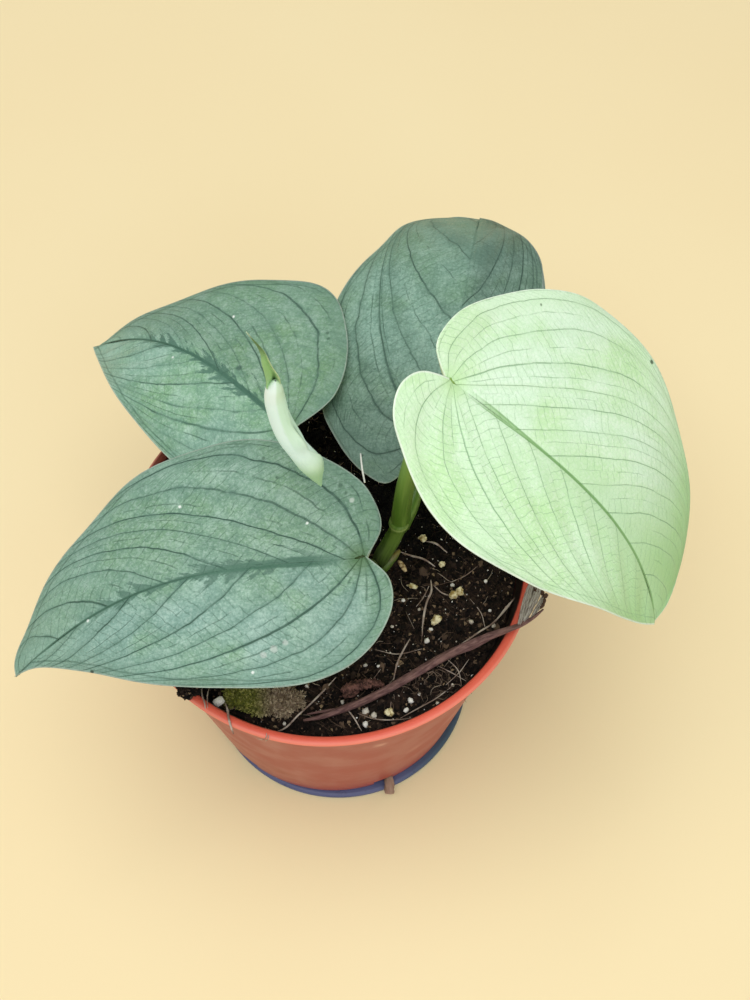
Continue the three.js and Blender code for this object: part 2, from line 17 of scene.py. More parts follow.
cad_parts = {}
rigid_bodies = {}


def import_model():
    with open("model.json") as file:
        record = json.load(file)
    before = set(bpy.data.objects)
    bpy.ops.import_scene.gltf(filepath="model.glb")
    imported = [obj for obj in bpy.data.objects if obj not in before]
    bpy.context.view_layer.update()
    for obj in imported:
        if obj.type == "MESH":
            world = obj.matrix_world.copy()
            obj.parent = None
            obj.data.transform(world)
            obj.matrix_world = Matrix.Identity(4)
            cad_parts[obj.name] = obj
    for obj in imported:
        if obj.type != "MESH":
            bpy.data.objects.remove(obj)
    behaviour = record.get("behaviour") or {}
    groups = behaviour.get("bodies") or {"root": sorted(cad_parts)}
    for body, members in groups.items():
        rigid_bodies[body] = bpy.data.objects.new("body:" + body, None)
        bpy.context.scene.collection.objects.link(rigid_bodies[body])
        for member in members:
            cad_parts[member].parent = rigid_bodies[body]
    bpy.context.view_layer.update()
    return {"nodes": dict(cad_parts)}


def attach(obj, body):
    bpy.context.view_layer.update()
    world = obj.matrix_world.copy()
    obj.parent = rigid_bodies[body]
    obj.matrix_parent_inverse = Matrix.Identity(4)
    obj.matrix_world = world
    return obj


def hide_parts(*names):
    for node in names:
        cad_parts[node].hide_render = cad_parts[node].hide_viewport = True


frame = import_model()
MM = 0.001
print("measured nodes:", len(frame["nodes"]))

# %% [markdown]
# ## Making a piece
# Every piece below is a list of points in millimetres and a list of faces. One helper turns
# them into a mesh, welds points that fall together, turns the faces outwards and stores any
# marks. A mark is a number kept at each point, such as the distance to the nearest edge. The
# finishes read these marks, so a pattern follows the surface wherever it bends.


# %% Turn points and faces into a piece
def make_piece(name, points, faces, finish, marks=None, weld=0.001):
    mesh = bpy.data.meshes.new(name)
    places = np.asarray(points, dtype=float) * MM
    mesh.from_pydata(places.tolist(), [], [tuple(face) for face in faces])
    for mark, values in (marks or {}).items():
        layer = mesh.attributes.new(mark, "FLOAT", "POINT")
        layer.data.foreach_set("value", np.asarray(values, dtype=np.float32))
    if weld:
        work = bmesh.new()
        work.from_mesh(mesh)
        bmesh.ops.remove_doubles(work, verts=work.verts, dist=weld * MM)
        bmesh.ops.dissolve_degenerate(work, edges=work.edges, dist=weld * MM * 0.1)
        bmesh.ops.recalc_face_normals(work, faces=work.faces)
        work.to_mesh(mesh)
        work.free()
    mesh.materials.append(finish)
    mesh.shade_smooth()
    piece = bpy.data.objects.new(name, mesh)
    bpy.context.scene.collection.objects.link(piece)
    return piece


# %% Settle a piece, join several
def settle(piece, slot, *nodes):
    """The piece rides with the object and stands for these nodes; slot is not used."""
    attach(piece, "root")
    if nodes:
        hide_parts(*nodes)
    print(piece.name, "has", len(piece.data.polygons), "faces")


def gather(parts):
    """Joins several (points, faces, marks) into one list of each."""
    points, faces, marks = [], [], {}
    start = 0
    for part_points, part_faces, part_marks in parts:
        points.append(np.asarray(part_points, dtype=float))
        faces.extend([tuple(corner + start for corner in face) for face in part_faces])
        for mark, values in part_marks.items():
            marks.setdefault(mark, []).append(np.asarray(values, dtype=float))
        start += len(part_points)
    return np.concatenate(points), faces, {mark: np.concatenate(v) for mark, v in marks.items()}


def assemble(name, parts, finish, slot, *nodes):
    """Makes one piece of several (points, faces, marks) and settles it."""
    points, faces, marks = gather(parts)
    settle(make_piece(name, points, faces, finish, marks), slot, *nodes)


# %% [markdown]
# ## Smooth paths and round stems
# Stems, petioles, roots and the dry stalk are all tubes whose thickness changes along a bent
# path. A curve object with a bevel could draw them, but wings, ridges and node rings need a
# section that changes shape, so the rings are placed in code. The frames are carried along
# the path without twisting, so ridges run straight up the stem.


# %% A smooth path
def smooth_path(points, per_span):
    """A smooth line through the given rows; extra columns, such as a radius, go with it."""
    rows = np.array(points, dtype=float)
    steps = np.linalg.norm(np.diff(rows[:, :3], axis=0), axis=1)
    knots = np.concatenate([[0], np.cumsum(steps)])
    slopes = np.gradient(rows, knots, axis=0)
    out = []
    for i in range(len(rows) - 1):
        gap = knots[i + 1] - knots[i]
        for x in np.linspace(0, 1, per_span, endpoint=i == len(rows) - 2):
            a = 2 * x**3 - 3 * x**2 + 1
            b = x**3 - 2 * x**2 + x
            c = -2 * x**3 + 3 * x**2
            d = x**3 - x**2
            out.append(a * rows[i] + b * gap * slopes[i] + c * rows[i + 1] + d * gap * slopes[i + 1])
    return np.array(out)


# %% Frames carried along it
def carried_frames(line, first):
    """Tangent, normal and side at each point, carried along without twisting."""
    tangents = np.gradient(line, axis=0)
    tangents /= np.linalg.norm(tangents, axis=1)[:, None]
    normal = np.array(first, dtype=float)
    normals = []
    for tangent in tangents:
        normal = normal - tangent * normal.dot(tangent)
        normal /= np.linalg.norm(normal)
        normals.append(normal)
    normals = np.array(normals)
    return tangents, normals, np.cross(tangents, normals)


# %% Faces between rings
def ring_faces(rows, sides):
    """Faces between rings of points, with a flat end at each."""
    faces = []
    for row in range(rows - 1):
        for i in range(sides):
            j = (i + 1) % sides
            a, b = row * sides + i, row * sides + j
            faces.append((a, b, b + sides, a + sides))
    faces.append(tuple(reversed(range(sides))))
    faces.append(tuple(range((rows - 1) * sides, rows * sides)))
    return faces


def closed_sheet(rings, half_count):
    """Faces of rings that each run out along one face of a sheet and back along the other."""
    full = 2 * half_count
    faces = ring_faces(len(rings), full)[:-2]
    last = (len(rings) - 1) * full
    for i in range(half_count - 1):
        far = full - 1 - i
        faces.append((i + 1, i, far, far - 1))
        faces.append((last + i, last + i + 1, last + far - 1, last + far))
    return faces


# %% A closed tube
def tube(points, sides, per_span, shape=None, first=(1.0, 0.0, 0.0)):
    """A closed tube through rows of x, y, z, radius; shape(angle, share) varies its radius."""
    line = smooth_path(points, per_span)
    _, normals, across = carried_frames(line[:, :3], first)
    angles = np.linspace(0, 2 * np.pi, sides, endpoint=False)
    length = np.concatenate([[0], np.cumsum(np.linalg.norm(np.diff(line[:, :3], axis=0), axis=1))])
    share = length / length[-1]
    spots, turns, ways = [], [], []
    for row in range(len(line)):
        swell = np.ones(sides) if shape is None else shape(angles, share[row])
        radius = line[row, 3] * swell
        ring = (line[row, :3] + np.outer(radius * np.cos(angles), normals[row])
                + np.outer(radius * np.sin(angles), across[row]))
        spots.append(ring)
        turns.append(angles)
        ways.append(np.full(sides, length[row]))
    marks = {"turn": np.concatenate(turns), "way": np.concatenate(ways)}
    return np.concatenate(spots), ring_faces(len(line), sides), marks


# %% Smooth noise at a place
def rough(point, size, seed=0.0):
    """Smooth noise from -1 to 1 at a place in mm, with lumps of about that size in mm."""
    return noise.noise(Vector((point[0] / size + seed, point[1] / size, point[2] / size)))


# %% [markdown]
# ## Building a finish
# A finish is a small graph of nodes. Writing each node by hand hides the idea, so a short class
# names the steps: read a mark, make noise of a size in millimetres, draw a line where a value
# is small, and lay one colour over another. All patterns use object coordinates or marks.


# %% Colours
def tint(code):
    """A colour code such as 8cb09d as linear red, green, blue and alpha."""
    parts = [int(code[i:i + 2], 16) / 255 for i in (0, 2, 4)]
    return [p / 12.92 if p <= 0.04045 else ((p + 0.055) / 1.055) ** 2.4 for p in parts] + [1.0]


# %% Plain steps of a graph
class Steps:
    """Adds nodes to self.tree and feeds them with values or with one another's results."""

    def add(self, kind, **settings):
        node = self.tree.nodes.new(kind)
        for key, value in settings.items():
            setattr(node, key, value)
        return node

    def feed(self, socket, value):
        if isinstance(value, bpy.types.NodeSocket):
            self.tree.links.new(value, socket)
        else:
            socket.default_value = value

    def mark(self, name):
        return self.add("ShaderNodeAttribute", attribute_name=name).outputs["Fac"]

    def maths(self, operation, first, second=0.0, third=0.0):
        node = self.add("ShaderNodeMath", operation=operation)
        for socket, value in zip(node.inputs, (first, second, third)):
            self.feed(socket, value)
        return node.outputs[0]

    def times(self, first, second):
        return self.maths("MULTIPLY", first, second)

    def plus(self, first, second):
        return self.maths("ADD", first, second)

    def band(self, value, low, high, start=0.0, end=1.0):
        """A soft step of value: start below low, end above high."""
        node = self.add("ShaderNodeMapRange", interpolation_type="SMOOTHSTEP")
        for label, number in (("Value", value), ("From Min", low), ("From Max", high),
                              ("To Min", start), ("To Max", end)):
            self.feed(node.inputs[label], number)
        return node.outputs["Result"]

    def line(self, distance, width):
        """1 on a line of that width and 0 away from it."""
        inner = self.times(width, 0.35) if not isinstance(width, float) else width * 0.35
        return self.band(distance, inner, width, 1.0, 0.0)

    def place(self, x, y, z=0.0):
        node = self.add("ShaderNodeCombineXYZ")
        for socket, value in zip(node.inputs, (x, y, z)):
            self.feed(socket, value)
        return node.outputs[0]


# %% Patterns, coats and relief
class Finish(Steps):
    def __init__(self, name, roughness, specular):
        self.material = bpy.data.materials.new(name)
        self.material.use_nodes = True
        self.tree = self.material.node_tree
        self.shader = self.tree.nodes["Principled BSDF"]
        self.shader.inputs["Roughness"].default_value = roughness
        self.shader.inputs["Specular IOR Level"].default_value = specular
        self.where = self.add("ShaderNodeTexCoord").outputs["Object"]
        self.colour = None

    def axes(self):
        node = self.add("ShaderNodeSeparateXYZ")
        self.feed(node.inputs[0], self.where)
        return node.outputs

    def upright(self, height_scale):
        """Places in mm whose height counts for less, so that lumps stand upright."""
        node = self.add("ShaderNodeVectorMath", operation="MULTIPLY")
        self.feed(node.inputs[0], self.where)
        node.inputs[1].default_value = (1 / MM, 1 / MM, height_scale)
        return node.outputs[0]

    def grain(self, size, detail, roughness=0.5, where=None):
        """Noise from 0 to 1 with lumps of that size in mm, or in units of another place."""
        node = self.add("ShaderNodeTexNoise")
        self.feed(node.inputs["Vector"], self.where if where is None else where)
        node.inputs["Scale"].default_value = (1 / (size * MM)) if where is None else 1 / size
        node.inputs["Detail"].default_value = detail
        node.inputs["Roughness"].default_value = roughness
        return node.outputs["Fac"]

    def fibres(self, detail, roughness, around, along):
        """Noise drawn out along a tube or a strip, which carries the marks turn and way."""
        where = self.place(self.times(self.mark("turn"), around), self.times(self.mark("way"), along))
        return self.grain(1.0, detail, roughness, where)

    def cells(self, where, size, jitter):
        """The distance to the nearest wall between flat cells of that size."""
        node = self.add("ShaderNodeTexVoronoi", feature="DISTANCE_TO_EDGE", voronoi_dimensions="2D")
        self.feed(node.inputs["Vector"], where)
        node.inputs["Scale"].default_value = 1 / size
        node.inputs["Randomness"].default_value = jitter
        return node.outputs["Distance"]

    def over(self, share, under, upper):
        """Lays colour upper over colour under by a share from 0 to 1."""
        node = self.add("ShaderNodeMix", data_type="RGBA")
        self.feed(node.inputs["Factor"], share)
        for socket, value in ((node.inputs[6], under), (node.inputs[7], upper)):
            self.feed(socket, tint(value) if isinstance(value, str) else value)
        return node.outputs[2]

    def coat(self, share, upper):
        """Lays one more colour over the finish by a share from 0 to 1."""
        self.colour = self.over(share, self.colour, upper)

    def shade(self, colour, amount):
        """Multiplies a colour by a grey value."""
        node = self.add("ShaderNodeVectorMath", operation="SCALE")
        self.feed(node.inputs[0], colour)
        self.feed(node.inputs["Scale"], amount)
        return node.outputs[0]

    def relief(self, height, depth_mm, strength):
        node = self.add("ShaderNodeBump")
        node.inputs["Strength"].default_value = strength
        node.inputs["Distance"].default_value = depth_mm * MM
        self.feed(node.inputs["Height"], height)
        self.feed(self.shader.inputs["Normal"], node.outputs[0])

    def done(self, roughness=None):
        self.feed(self.shader.inputs["Base Color"], self.colour)
        if roughness is not None:
            self.feed(self.shader.inputs["Roughness"], roughness)
        print("finish", self.material.name, "has", len(self.tree.nodes), "nodes")
        return self.material


# %% Finishes of two tones
def two_tone(name, roughness, specular, tones, lumps=None, fibres=None, ends=None, relief=None):
    """A finish of two tones, in lumps or in fibres; ends are the values where each tone is full."""
    skin = Finish(name, roughness, specular)
    pattern = skin.grain(*lumps) if lumps else skin.fibres(*fibres)
    skin.colour = skin.over(skin.band(pattern, *ends) if ends else pattern, *tones)
    if relief:
        skin.relief(pattern, *relief)
    return skin.done()


# %% [markdown]
# ## The camera and the light
# The camera looks down steeply from the front, as a hand-held phone would. Its lens and place
# were worked out from the round rim and foot of the pot. The light is one broad soft panel
# overhead with a weaker one in front, so that the shadows stay pale and wide.

# %% Camera
CAMERA_PLACE = (13.4, -167.5, 436.5)
LOOK_DOWN = math.radians(61.6)
CAMERA_ROLL = math.radians(0.7)
LENS = 46.8

forward = Vector((0, math.cos(LOOK_DOWN), -math.sin(LOOK_DOWN)))
level = Vector((1, 0, 0))
upward = level.cross(forward)
right_way = level * math.cos(CAMERA_ROLL) + upward * math.sin(CAMERA_ROLL)
up_way = upward * math.cos(CAMERA_ROLL) - level * math.sin(CAMERA_ROLL)
camera_data = bpy.data.cameras.new("camera")
camera_data.lens = LENS
camera_data.sensor_width = 36
camera_data.clip_start = 0.01
camera = bpy.data.objects.new("camera", camera_data)
turn = Matrix((right_way, up_way, -forward)).transposed().to_4x4()
camera.matrix_world = Matrix.Translation(Vector(CAMERA_PLACE) * MM) @ turn
bpy.context.scene.collection.objects.link(camera)
bpy.context.scene.camera = camera
print("camera at", [round(v, 3) for v in camera.location])


# %% Light and floor
def soft_panel(name, place, size, power, warmth):
    data = bpy.data.lights.new(name, "AREA")
    data.size = size
    data.energy = power
    data.color = warmth
    panel = bpy.data.objects.new(name, data)
    panel.location = place
    aim = Vector((0, 0, 0.1)) - Vector(place)
    panel.rotation_euler = aim.to_track_quat("-Z", "Y").to_euler()
    bpy.context.scene.collection.objects.link(panel)
    return panel


soft_panel("panel_above", (-0.15, -0.1, 1.25), 1.0, 8.7, (1.0, 0.985, 0.96))
soft_panel("panel_front", (0.45, -1.1, 0.9), 1.4, 4.5, (0.98, 0.99, 1.0))
world = bpy.data.worlds.new("studio")
world.use_nodes = True
sky = world.node_tree.nodes["Background"]
sky.inputs["Color"].default_value = (1.0, 0.99, 0.97, 1.0)
sky.inputs["Strength"].default_value = 0.49
bpy.context.scene.world = world
bpy.context.scene.view_settings.view_transform = "Standard"

floor_finish = two_tone("cream_paper", 0.9, 0.2, ("f7e3b3", "fbecbf"), lumps=(180, 2))
floor_half = 1600
floor = make_piece("floor", [(-floor_half, -floor_half, 0), (floor_half, -floor_half, 0),
                             (floor_half, floor_half, 0), (-floor_half, floor_half, 0)],
                   [(0, 1, 2, 3)], floor_finish, weld=0)
print("floor and lights set")

# %% [markdown]
# ## The pot
# A thin-walled moulded pot is a profile turned about the upright axis, closed back onto itself
# so that the wall has a thickness. It has a rounded lip, a rim band, a tapering wall and drain
# slots through the corner of the foot. The slots are cut with a boolean, which is simpler and
# cleaner here than building the wall around them.

# %% Pot sizes
RIM_RADIUS = 60.0
WALL_TOP_RADIUS = 57.4
FOOT_RADIUS = 45.0
FOOT_Z = 2.5
BAND_Z = 94.2
WALL = 1.6
FLOOR_Z = FOOT_Z + 2.0
TURNED_STEPS = 180


def wall_radius(z):
    return FOOT_RADIUS + (WALL_TOP_RADIUS - FOOT_RADIUS) * (z - FOOT_Z) / (BAND_Z - FOOT_Z)


def turned(profile):
    """Points and faces of a closed profile of radius and height turned about the axis."""
    points, faces = [], []
    count = len(profile)
    for i in range(TURNED_STEPS):
        angle = 2 * math.pi * i / TURNED_STEPS
        for radius, height in profile:
            points.append((radius * math.cos(angle), radius * math.sin(angle), height))
        j = (i + 1) % TURNED_STEPS
        for k in range(count - 1):
            faces.append((i * count + k, j * count + k, j * count + k + 1, i * count + k + 1))
    return np.array(points), faces


def wall_run(first_z, last_z, inset, steps):
    return [(wall_radius(z) - inset, z) for z in np.linspace(first_z, last_z, steps)]


# %% Pot profile
pot_profile = ([(0, FOOT_Z), (FOOT_RADIUS - 3, FOOT_Z), (FOOT_RADIUS - 1.2, FOOT_Z + 0.2),
                (wall_radius(3.6) - 0.2, 3.5)]
               + wall_run(4.2, BAND_Z - 0.5, 0, 14)
               + [(57.6, 94.6), (58.1, 95.4), (58.7, 96.3), (59.3, 97.1), (59.75, 97.6), (59.95, 98.0),
                  (RIM_RADIUS, 98.35), (59.85, 98.7), (59.4, 98.95), (58.6, 99), (57.8, 98.85), (57.3, 98.4),
                  (57.1, 97.8), (56.7, 96.2)]
               + wall_run(BAND_Z - 0.3, FLOOR_Z + 1.5, WALL, 12)
               + [(wall_radius(FLOOR_Z) - WALL - 1, FLOOR_Z + 0.2), (FOOT_RADIUS - 5, FLOOR_Z), (0, FLOOR_Z)])
print("pot profile has", len(pot_profile), "points")

# %% Pot plastic
plastic = Finish("coral_plastic", roughness=0.42, specular=0.45)
pot_x, pot_y, height = plastic.axes()
lit_lip_share = plastic.band(height, 0.0979, 0.0984)
clouds = plastic.grain(20, 3, 0.5, plastic.upright(400))
plastic.colour = plastic.over(clouds, "9a3a33", "a4433b")
# Pale chalky streaks, stronger on the left, where they also paint the wall lighter as painted light
chalky = plastic.band(plastic.grain(11, 3, 0.6, plastic.upright(330)), 0.5, 0.74)
plastic.coat(plastic.times(chalky, plastic.band(pot_x, -0.03, 0.02, 0.42, 0.1)), "b5766e")
plastic.coat(plastic.band(height, 0.0, 0.07, 0.4, 0.0), "a4473b")
# The lip's upward face is painted a brighter coral than the wall, as painted light
plastic.coat(lit_lip_share, plastic.over(plastic.grain(12, 2), "dd5a45", "ea6a54"))
POT_STAINS_AND_SHADE = ((-16.1, -46.0, 25, 3.0, "93301f", 0.7), (-18.0, -44.4, 30, 6.5, "9a4434", 0.35),
              (33.6, -37.0, 39.5, 1.5, "8c3626", 0.55), (15.9, -52.9, 78, 2.0, "dba798", 0.6),
              (25.8, -42.2, 45, 3.0, "c98878", 0.3), (-12.0, -52.0, 60, 4.0, "a85443", 0.35),
              # The last patch, on the rim at the back left, is partly spilled soil and partly painted shade
              # under the leaves
              (-51.8, 29.4, 98.5, 7.0, "3c1a12", 0.85))
for x, y, z, radius, patch_tone, amount in POT_STAINS_AND_SHADE:
    away = plastic.add("ShaderNodeVectorMath", operation="DISTANCE")
    plastic.feed(away.inputs[0], plastic.where)
    away.inputs[1].default_value = (x * MM, y * MM, z * MM)
    ragged = plastic.plus(away.outputs["Value"], plastic.times(plastic.grain(3.5, 3), 0.0022))
    share = plastic.band(ragged, radius * MM * 0.6, (radius + 2.2) * MM, amount, 0.0)
    plastic.coat(share, patch_tone)
dirt = plastic.times(plastic.band(plastic.grain(1.6, 4, 0.65), 0.63, 0.72),
                     plastic.band(plastic.grain(17, 2), 0.5, 0.64, 0.0, 0.35))
plastic.coat(dirt, "6a3024")
reach_out = plastic.maths("SQRT", plastic.plus(plastic.times(pot_x, pot_x), plastic.times(pot_y, pot_y)))
# A painted highlight along the outer edge of the lip
painted_lip_highlight = plastic.times(lit_lip_share, plastic.band(reach_out, 0.0589, 0.0597, 0.0, 0.5))
plastic.coat(painted_lip_highlight, "f49a84")
# The inner wall from the soil up to a ragged line below the lip is painted near black
dark_band_top = plastic.plus(height, plastic.times(plastic.grain(4, 4, 0.6), 0.0016))
dark_inner_band = plastic.times(plastic.band(reach_out, 0.0568, 0.0574, 1.0, 0.0),
                       plastic.band(dark_band_top, 0.0988, 0.0994, 1.0, 0.0))
plastic.coat(plastic.times(dark_inner_band, plastic.band(height, 0.09, 0.091)), "1c130e")
plastic.relief(plastic.plus(plastic.times(plastic.grain(0.7, 2), 0.25), plastic.grain(7, 2)), 0.1, 0.4)
pot_finish = plastic.done(plastic.band(plastic.grain(14, 3), 0.3, 0.7, 0.36, 0.5))

# %% Cut the drain slots and finish the pot
pot_points, pot_faces = turned(pot_profile)
pot = make_piece("pot_shell", pot_points, pot_faces, pot_finish)
SLOT_ANGLE = math.atan2(-43.9, 18.0)
SLOT_SIZE = (9.0, 6.5, 5.5)
SLOT_PLACE = (44.0, 0, 5.1)
SLOTS = 6
cutter_mesh = bpy.data.meshes.new("slot_cutter")
cutter_work = bmesh.new()
for i in range(SLOTS):
    angle = SLOT_ANGLE + i * 2 * math.pi / SLOTS
    spot = (Matrix.Rotation(angle, 4, "Z") @ Matrix.Translation(Vector(SLOT_PLACE) * MM)
            @ Matrix.Diagonal((*[side * MM for side in SLOT_SIZE], 1)))
    bmesh.ops.create_cube(cutter_work, size=1.0, matrix=spot)
cutter_work.to_mesh(cutter_mesh)
cutter_work.free()
cutter = bpy.data.objects.new("slot_cutter", cutter_mesh)
bpy.context.scene.collection.objects.link(cutter)


def apply_modifiers(piece):
    """Replaces the piece's mesh by what its modifiers make, and removes them."""
    graph = bpy.context.evaluated_depsgraph_get()
    graph.update()
    made = bpy.data.meshes.new_from_object(piece.evaluated_get(graph), depsgraph=graph)
    piece.modifiers.clear()
    piece.data = made
    return piece


slots = pot.modifiers.new("slots", "BOOLEAN")
slots.operation = "DIFFERENCE"
slots.solver = "EXACT"
slots.object = cutter
apply_modifiers(pot)
bpy.data.objects.remove(cutter)
pot.data.shade_smooth()
pot.data.set_sharp_from_angle(angle=math.radians(40))
settle(pot, "pot", "pot")

# %% [markdown]
# ## The saucer
# The saucer is a plain flat disc of dark blue plastic with a softened edge. Only a narrow
# crescent of it shows in front, so its edge gets the care.

# %% Saucer
blue = Finish("blue_plastic", roughness=0.4, specular=0.45)
blue.colour = blue.over(blue.grain(18, 2), "4f5781", "5d658c")
across_x, _, _ = blue.axes()
# The right part of the saucer is painted a darker teal, as painted shade
blue.coat(blue.band(across_x, 0.018, 0.04, 0.0, 0.9), "36505e")
blue.coat(blue.band(blue.grain(3, 4, 0.6), 0.58, 0.75, 0.0, 0.4), "23273a")
blue.relief(blue.grain(5, 3), 0.08, 0.4)
SAUCER_SHIFT = (1.7, -2.0, 0)
saucer_profile = [(0, 0), (42.3, 0), (43.7, 0.15), (44.5, 0.6), (44.9, 1.2), (44.7, 1.75),
                  (44.2, 2.1), (43.5, 2.2), (30, 2.2), (0, 2.2)]
saucer_points, saucer_faces = turned(saucer_profile)
settle(make_piece("saucer_plate", saucer_points + SAUCER_SHIFT, saucer_faces, blue.done()), "saucer", "saucer")

# %% [markdown]
# ## Scattering small pieces
# Soil crumbs, white grains, bark bits, loose root threads and moss shoots all repeat by the
# hundred. A geometry node tree spreads them: it drops points on a ground mesh, puts one of a
# few kinds on each, turns and sizes it at random, and makes real geometry of the result. All
# of its sizes are inputs, and the seed is fixed, so the scene comes out the same each time.


# %% Inputs of the scattering tree
SCATTER_INPUTS = (("Ground", "Geometry"), ("Per square mm", "Float"), ("Smallest", "Float"),
                  ("Largest", "Float"), ("Tumble", "Float"), ("Seed", "Int"),
                  ("Kinds", "Collection"), ("Finish", "Material"))
SCATTER = bpy.data.node_groups.new("scatter", "GeometryNodeTree")
for label, kind in SCATTER_INPUTS:
    SCATTER.interface.new_socket(label, in_out="INPUT", socket_type="NodeSocket" + kind)
SCATTER.interface.new_socket("Pieces", in_out="OUTPUT", socket_type="NodeSocketGeometry")
given = SCATTER.nodes.new("NodeGroupInput").outputs


def scatter_node(kind, inputs, **settings):
    """Adds a node, feeds its inputs with values or other results, and returns its results."""
    node = SCATTER.nodes.new(kind)
    for key, value in settings.items():
        setattr(node, key, value)
    for label, value in inputs.items():
        if isinstance(value, bpy.types.NodeSocket):
            SCATTER.links.new(value, node.inputs[label])
        else:
            node.inputs[label].default_value = value
    return node.outputs


# %% Points on the ground
share = scatter_node("GeometryNodeInputNamedAttribute", {"Name": "share"}, data_type="FLOAT")
density = scatter_node("ShaderNodeMath", {0: given["Per square mm"], 1: share["Attribute"]},
                       operation="MULTIPLY")
per_metre = scatter_node("ShaderNodeMath", {0: density[0], 1: 1 / MM**2}, operation="MULTIPLY")
spread = scatter_node("GeometryNodeDistributePointsOnFaces",
                      {"Mesh": given["Ground"], "Density": per_metre[0], "Seed": given["Seed"]},
                      distribute_method="RANDOM")

# %% The turn and size of each piece
minus = scatter_node("ShaderNodeMath", {0: given["Tumble"], 1: -1}, operation="MULTIPLY")
least = scatter_node("ShaderNodeCombineXYZ", {0: minus[0], 1: minus[0]})
most = scatter_node("ShaderNodeCombineXYZ", {0: given["Tumble"], 1: given["Tumble"], 2: 2 * math.pi})
lean = scatter_node("FunctionNodeRandomValue", {"Min": least[0], "Max": most[0], "Seed": given["Seed"]},
                    data_type="FLOAT_VECTOR")
angles = scatter_node("FunctionNodeEulerToRotation", {0: lean[0]})
turned_by = scatter_node("FunctionNodeRotateRotation", {0: spread["Rotation"], 1: angles[0]},
                         rotation_space="LOCAL")
size = scatter_node("FunctionNodeRandomValue",
                    {2: given["Smallest"], 3: given["Largest"], "Seed": given["Seed"]}, data_type="FLOAT")

# %% A piece on each point, with a tone of its own
TONE_SEED_STEP = 7
kinds = scatter_node("GeometryNodeCollectionInfo",
                     {"Collection": given["Kinds"], "Separate Children": True, "Reset Children": True},
                     transform_space="ORIGINAL")
drop = scatter_node("GeometryNodeInstanceOnPoints",
                    {"Points": spread["Points"], "Instance": kinds[0], "Pick Instance": True,
                     "Rotation": turned_by[0], "Scale": size[1]})
tone_seed = scatter_node("ShaderNodeMath", {0: given["Seed"], 1: TONE_SEED_STEP}, operation="ADD")
tone = scatter_node("FunctionNodeRandomValue", {"Seed": tone_seed[0]}, data_type="FLOAT")
keep = scatter_node("GeometryNodeStoreNamedAttribute",
                    {"Name": "tone", "Geometry": drop[0], "Value": tone[1]},
                    data_type="FLOAT", domain="INSTANCE")
real = scatter_node("GeometryNodeRealizeInstances", {0: keep[0]})
coat = scatter_node("GeometryNodeSetMaterial", {"Geometry": real[0], "Material": given["Finish"]})
scatter_node("NodeGroupOutput", {0: coat[0]})
print("scatter tree has", len(SCATTER.nodes), "nodes")


# %% Use the tree on a ground mesh
def scatter(name, ground, kinds, finish, density, sizes, tumble, seed):
    """Spreads kinds, small meshes in mm, over ground = (points, faces, share of each point)."""
    points, faces, share = ground
    carrier = make_piece(name, points, faces, finish, {"share": share}, weld=0)
    shelf = bpy.data.collections.new(name + "_kinds")
    bpy.context.scene.collection.children.link(shelf)
    for i, (kind_points, kind_faces) in enumerate(kinds):
        kind_mesh = bpy.data.meshes.new(f"{name}_{i}")
        kind_mesh.from_pydata((np.asarray(kind_points) * MM).tolist(), [], kind_faces)
        shelf.objects.link(bpy.data.objects.new(f"{name}_{i}", kind_mesh))
    spread = carrier.modifiers.new("scatter", "NODES")
    spread.node_group = SCATTER
    values = {"Per square mm": density, "Smallest": sizes[0], "Largest": sizes[1],
              "Tumble": tumble, "Seed": seed, "Kinds": shelf, "Finish": finish}
    for item in SCATTER.interface.items_tree:
        if item.item_type == "SOCKET" and item.in_out == "INPUT" and item.name in values:
            spread[item.identifier] = values[item.name]
    apply_modifiers(carrier)
    for child in list(shelf.objects):
        bpy.data.objects.remove(child)
    bpy.data.collections.remove(shelf)
    return carrier


# %% Crumbs of many shapes
def crumb_kinds(seed, count, corners, flatness=1.0, length=1.0):
    """Small angular lumps: the outer hull of a few random points, about 1 mm across."""
    draw = np.random.default_rng(seed)
    kinds = []
    for _ in range(count):
        work = bmesh.new()
        for _ in range(corners):
            way = draw.normal(size=3)
            way *= 0.5 * draw.uniform(0.75, 1.0) / np.linalg.norm(way)
            work.verts.new((way[0] * length, way[1], way[2] * flatness))
        bmesh.ops.convex_hull(work, input=work.verts)
        loose = [v for v in work.verts if not v.link_faces]
        bmesh.ops.delete(work, geom=loose, context="VERTS")
        work.verts.index_update()
        kinds.append(([tuple(v.co) for v in work.verts],
                      [tuple(v.index for v in face.verts) for face in work.faces]))
        work.free()
    return kinds


# %% [markdown]
# ## The soil
# The potting mix is peat with bark, white mineral grains and old root threads. Its top is a
# round grid pushed up and down by noise, lower against the wall, closed by a side and a
# bottom so that it is one solid. The crumbs on it are scattered pieces, because crumbs have
# edges and shadows that a bumpy surface does not show.

# %% Soil body
SOIL_Z = 92.0
SOIL_DROP = 1.3
SOIL_RADIUS = wall_radius(SOIL_Z) - WALL - 0.25
STEM_FEET = ((16.0, -11.5, 3.4), (1.6, 11.4, 2.9))


def soil_height(x, y):
    swell = (0.8 * math.sin(0.37 * x + 1.1) * math.cos(0.31 * y - 0.6)
             + 0.5 * math.sin(0.83 * x - 0.52 * y + 2) + 0.4 * math.cos(0.94 * y + 0.35 * x))
    place = (x, y, 0)
    lumps = 1.1 * rough(place, 5.5) + 0.7 * rough(place, 2.4, 9) + 0.45 * rough(place, 1.1, 4)
    edge = max(0.0, (math.hypot(x, y) - SOIL_RADIUS + 5) / 5)
    return SOIL_Z + swell * (1 - edge) + lumps * (1 - 0.6 * edge) - SOIL_DROP * edge


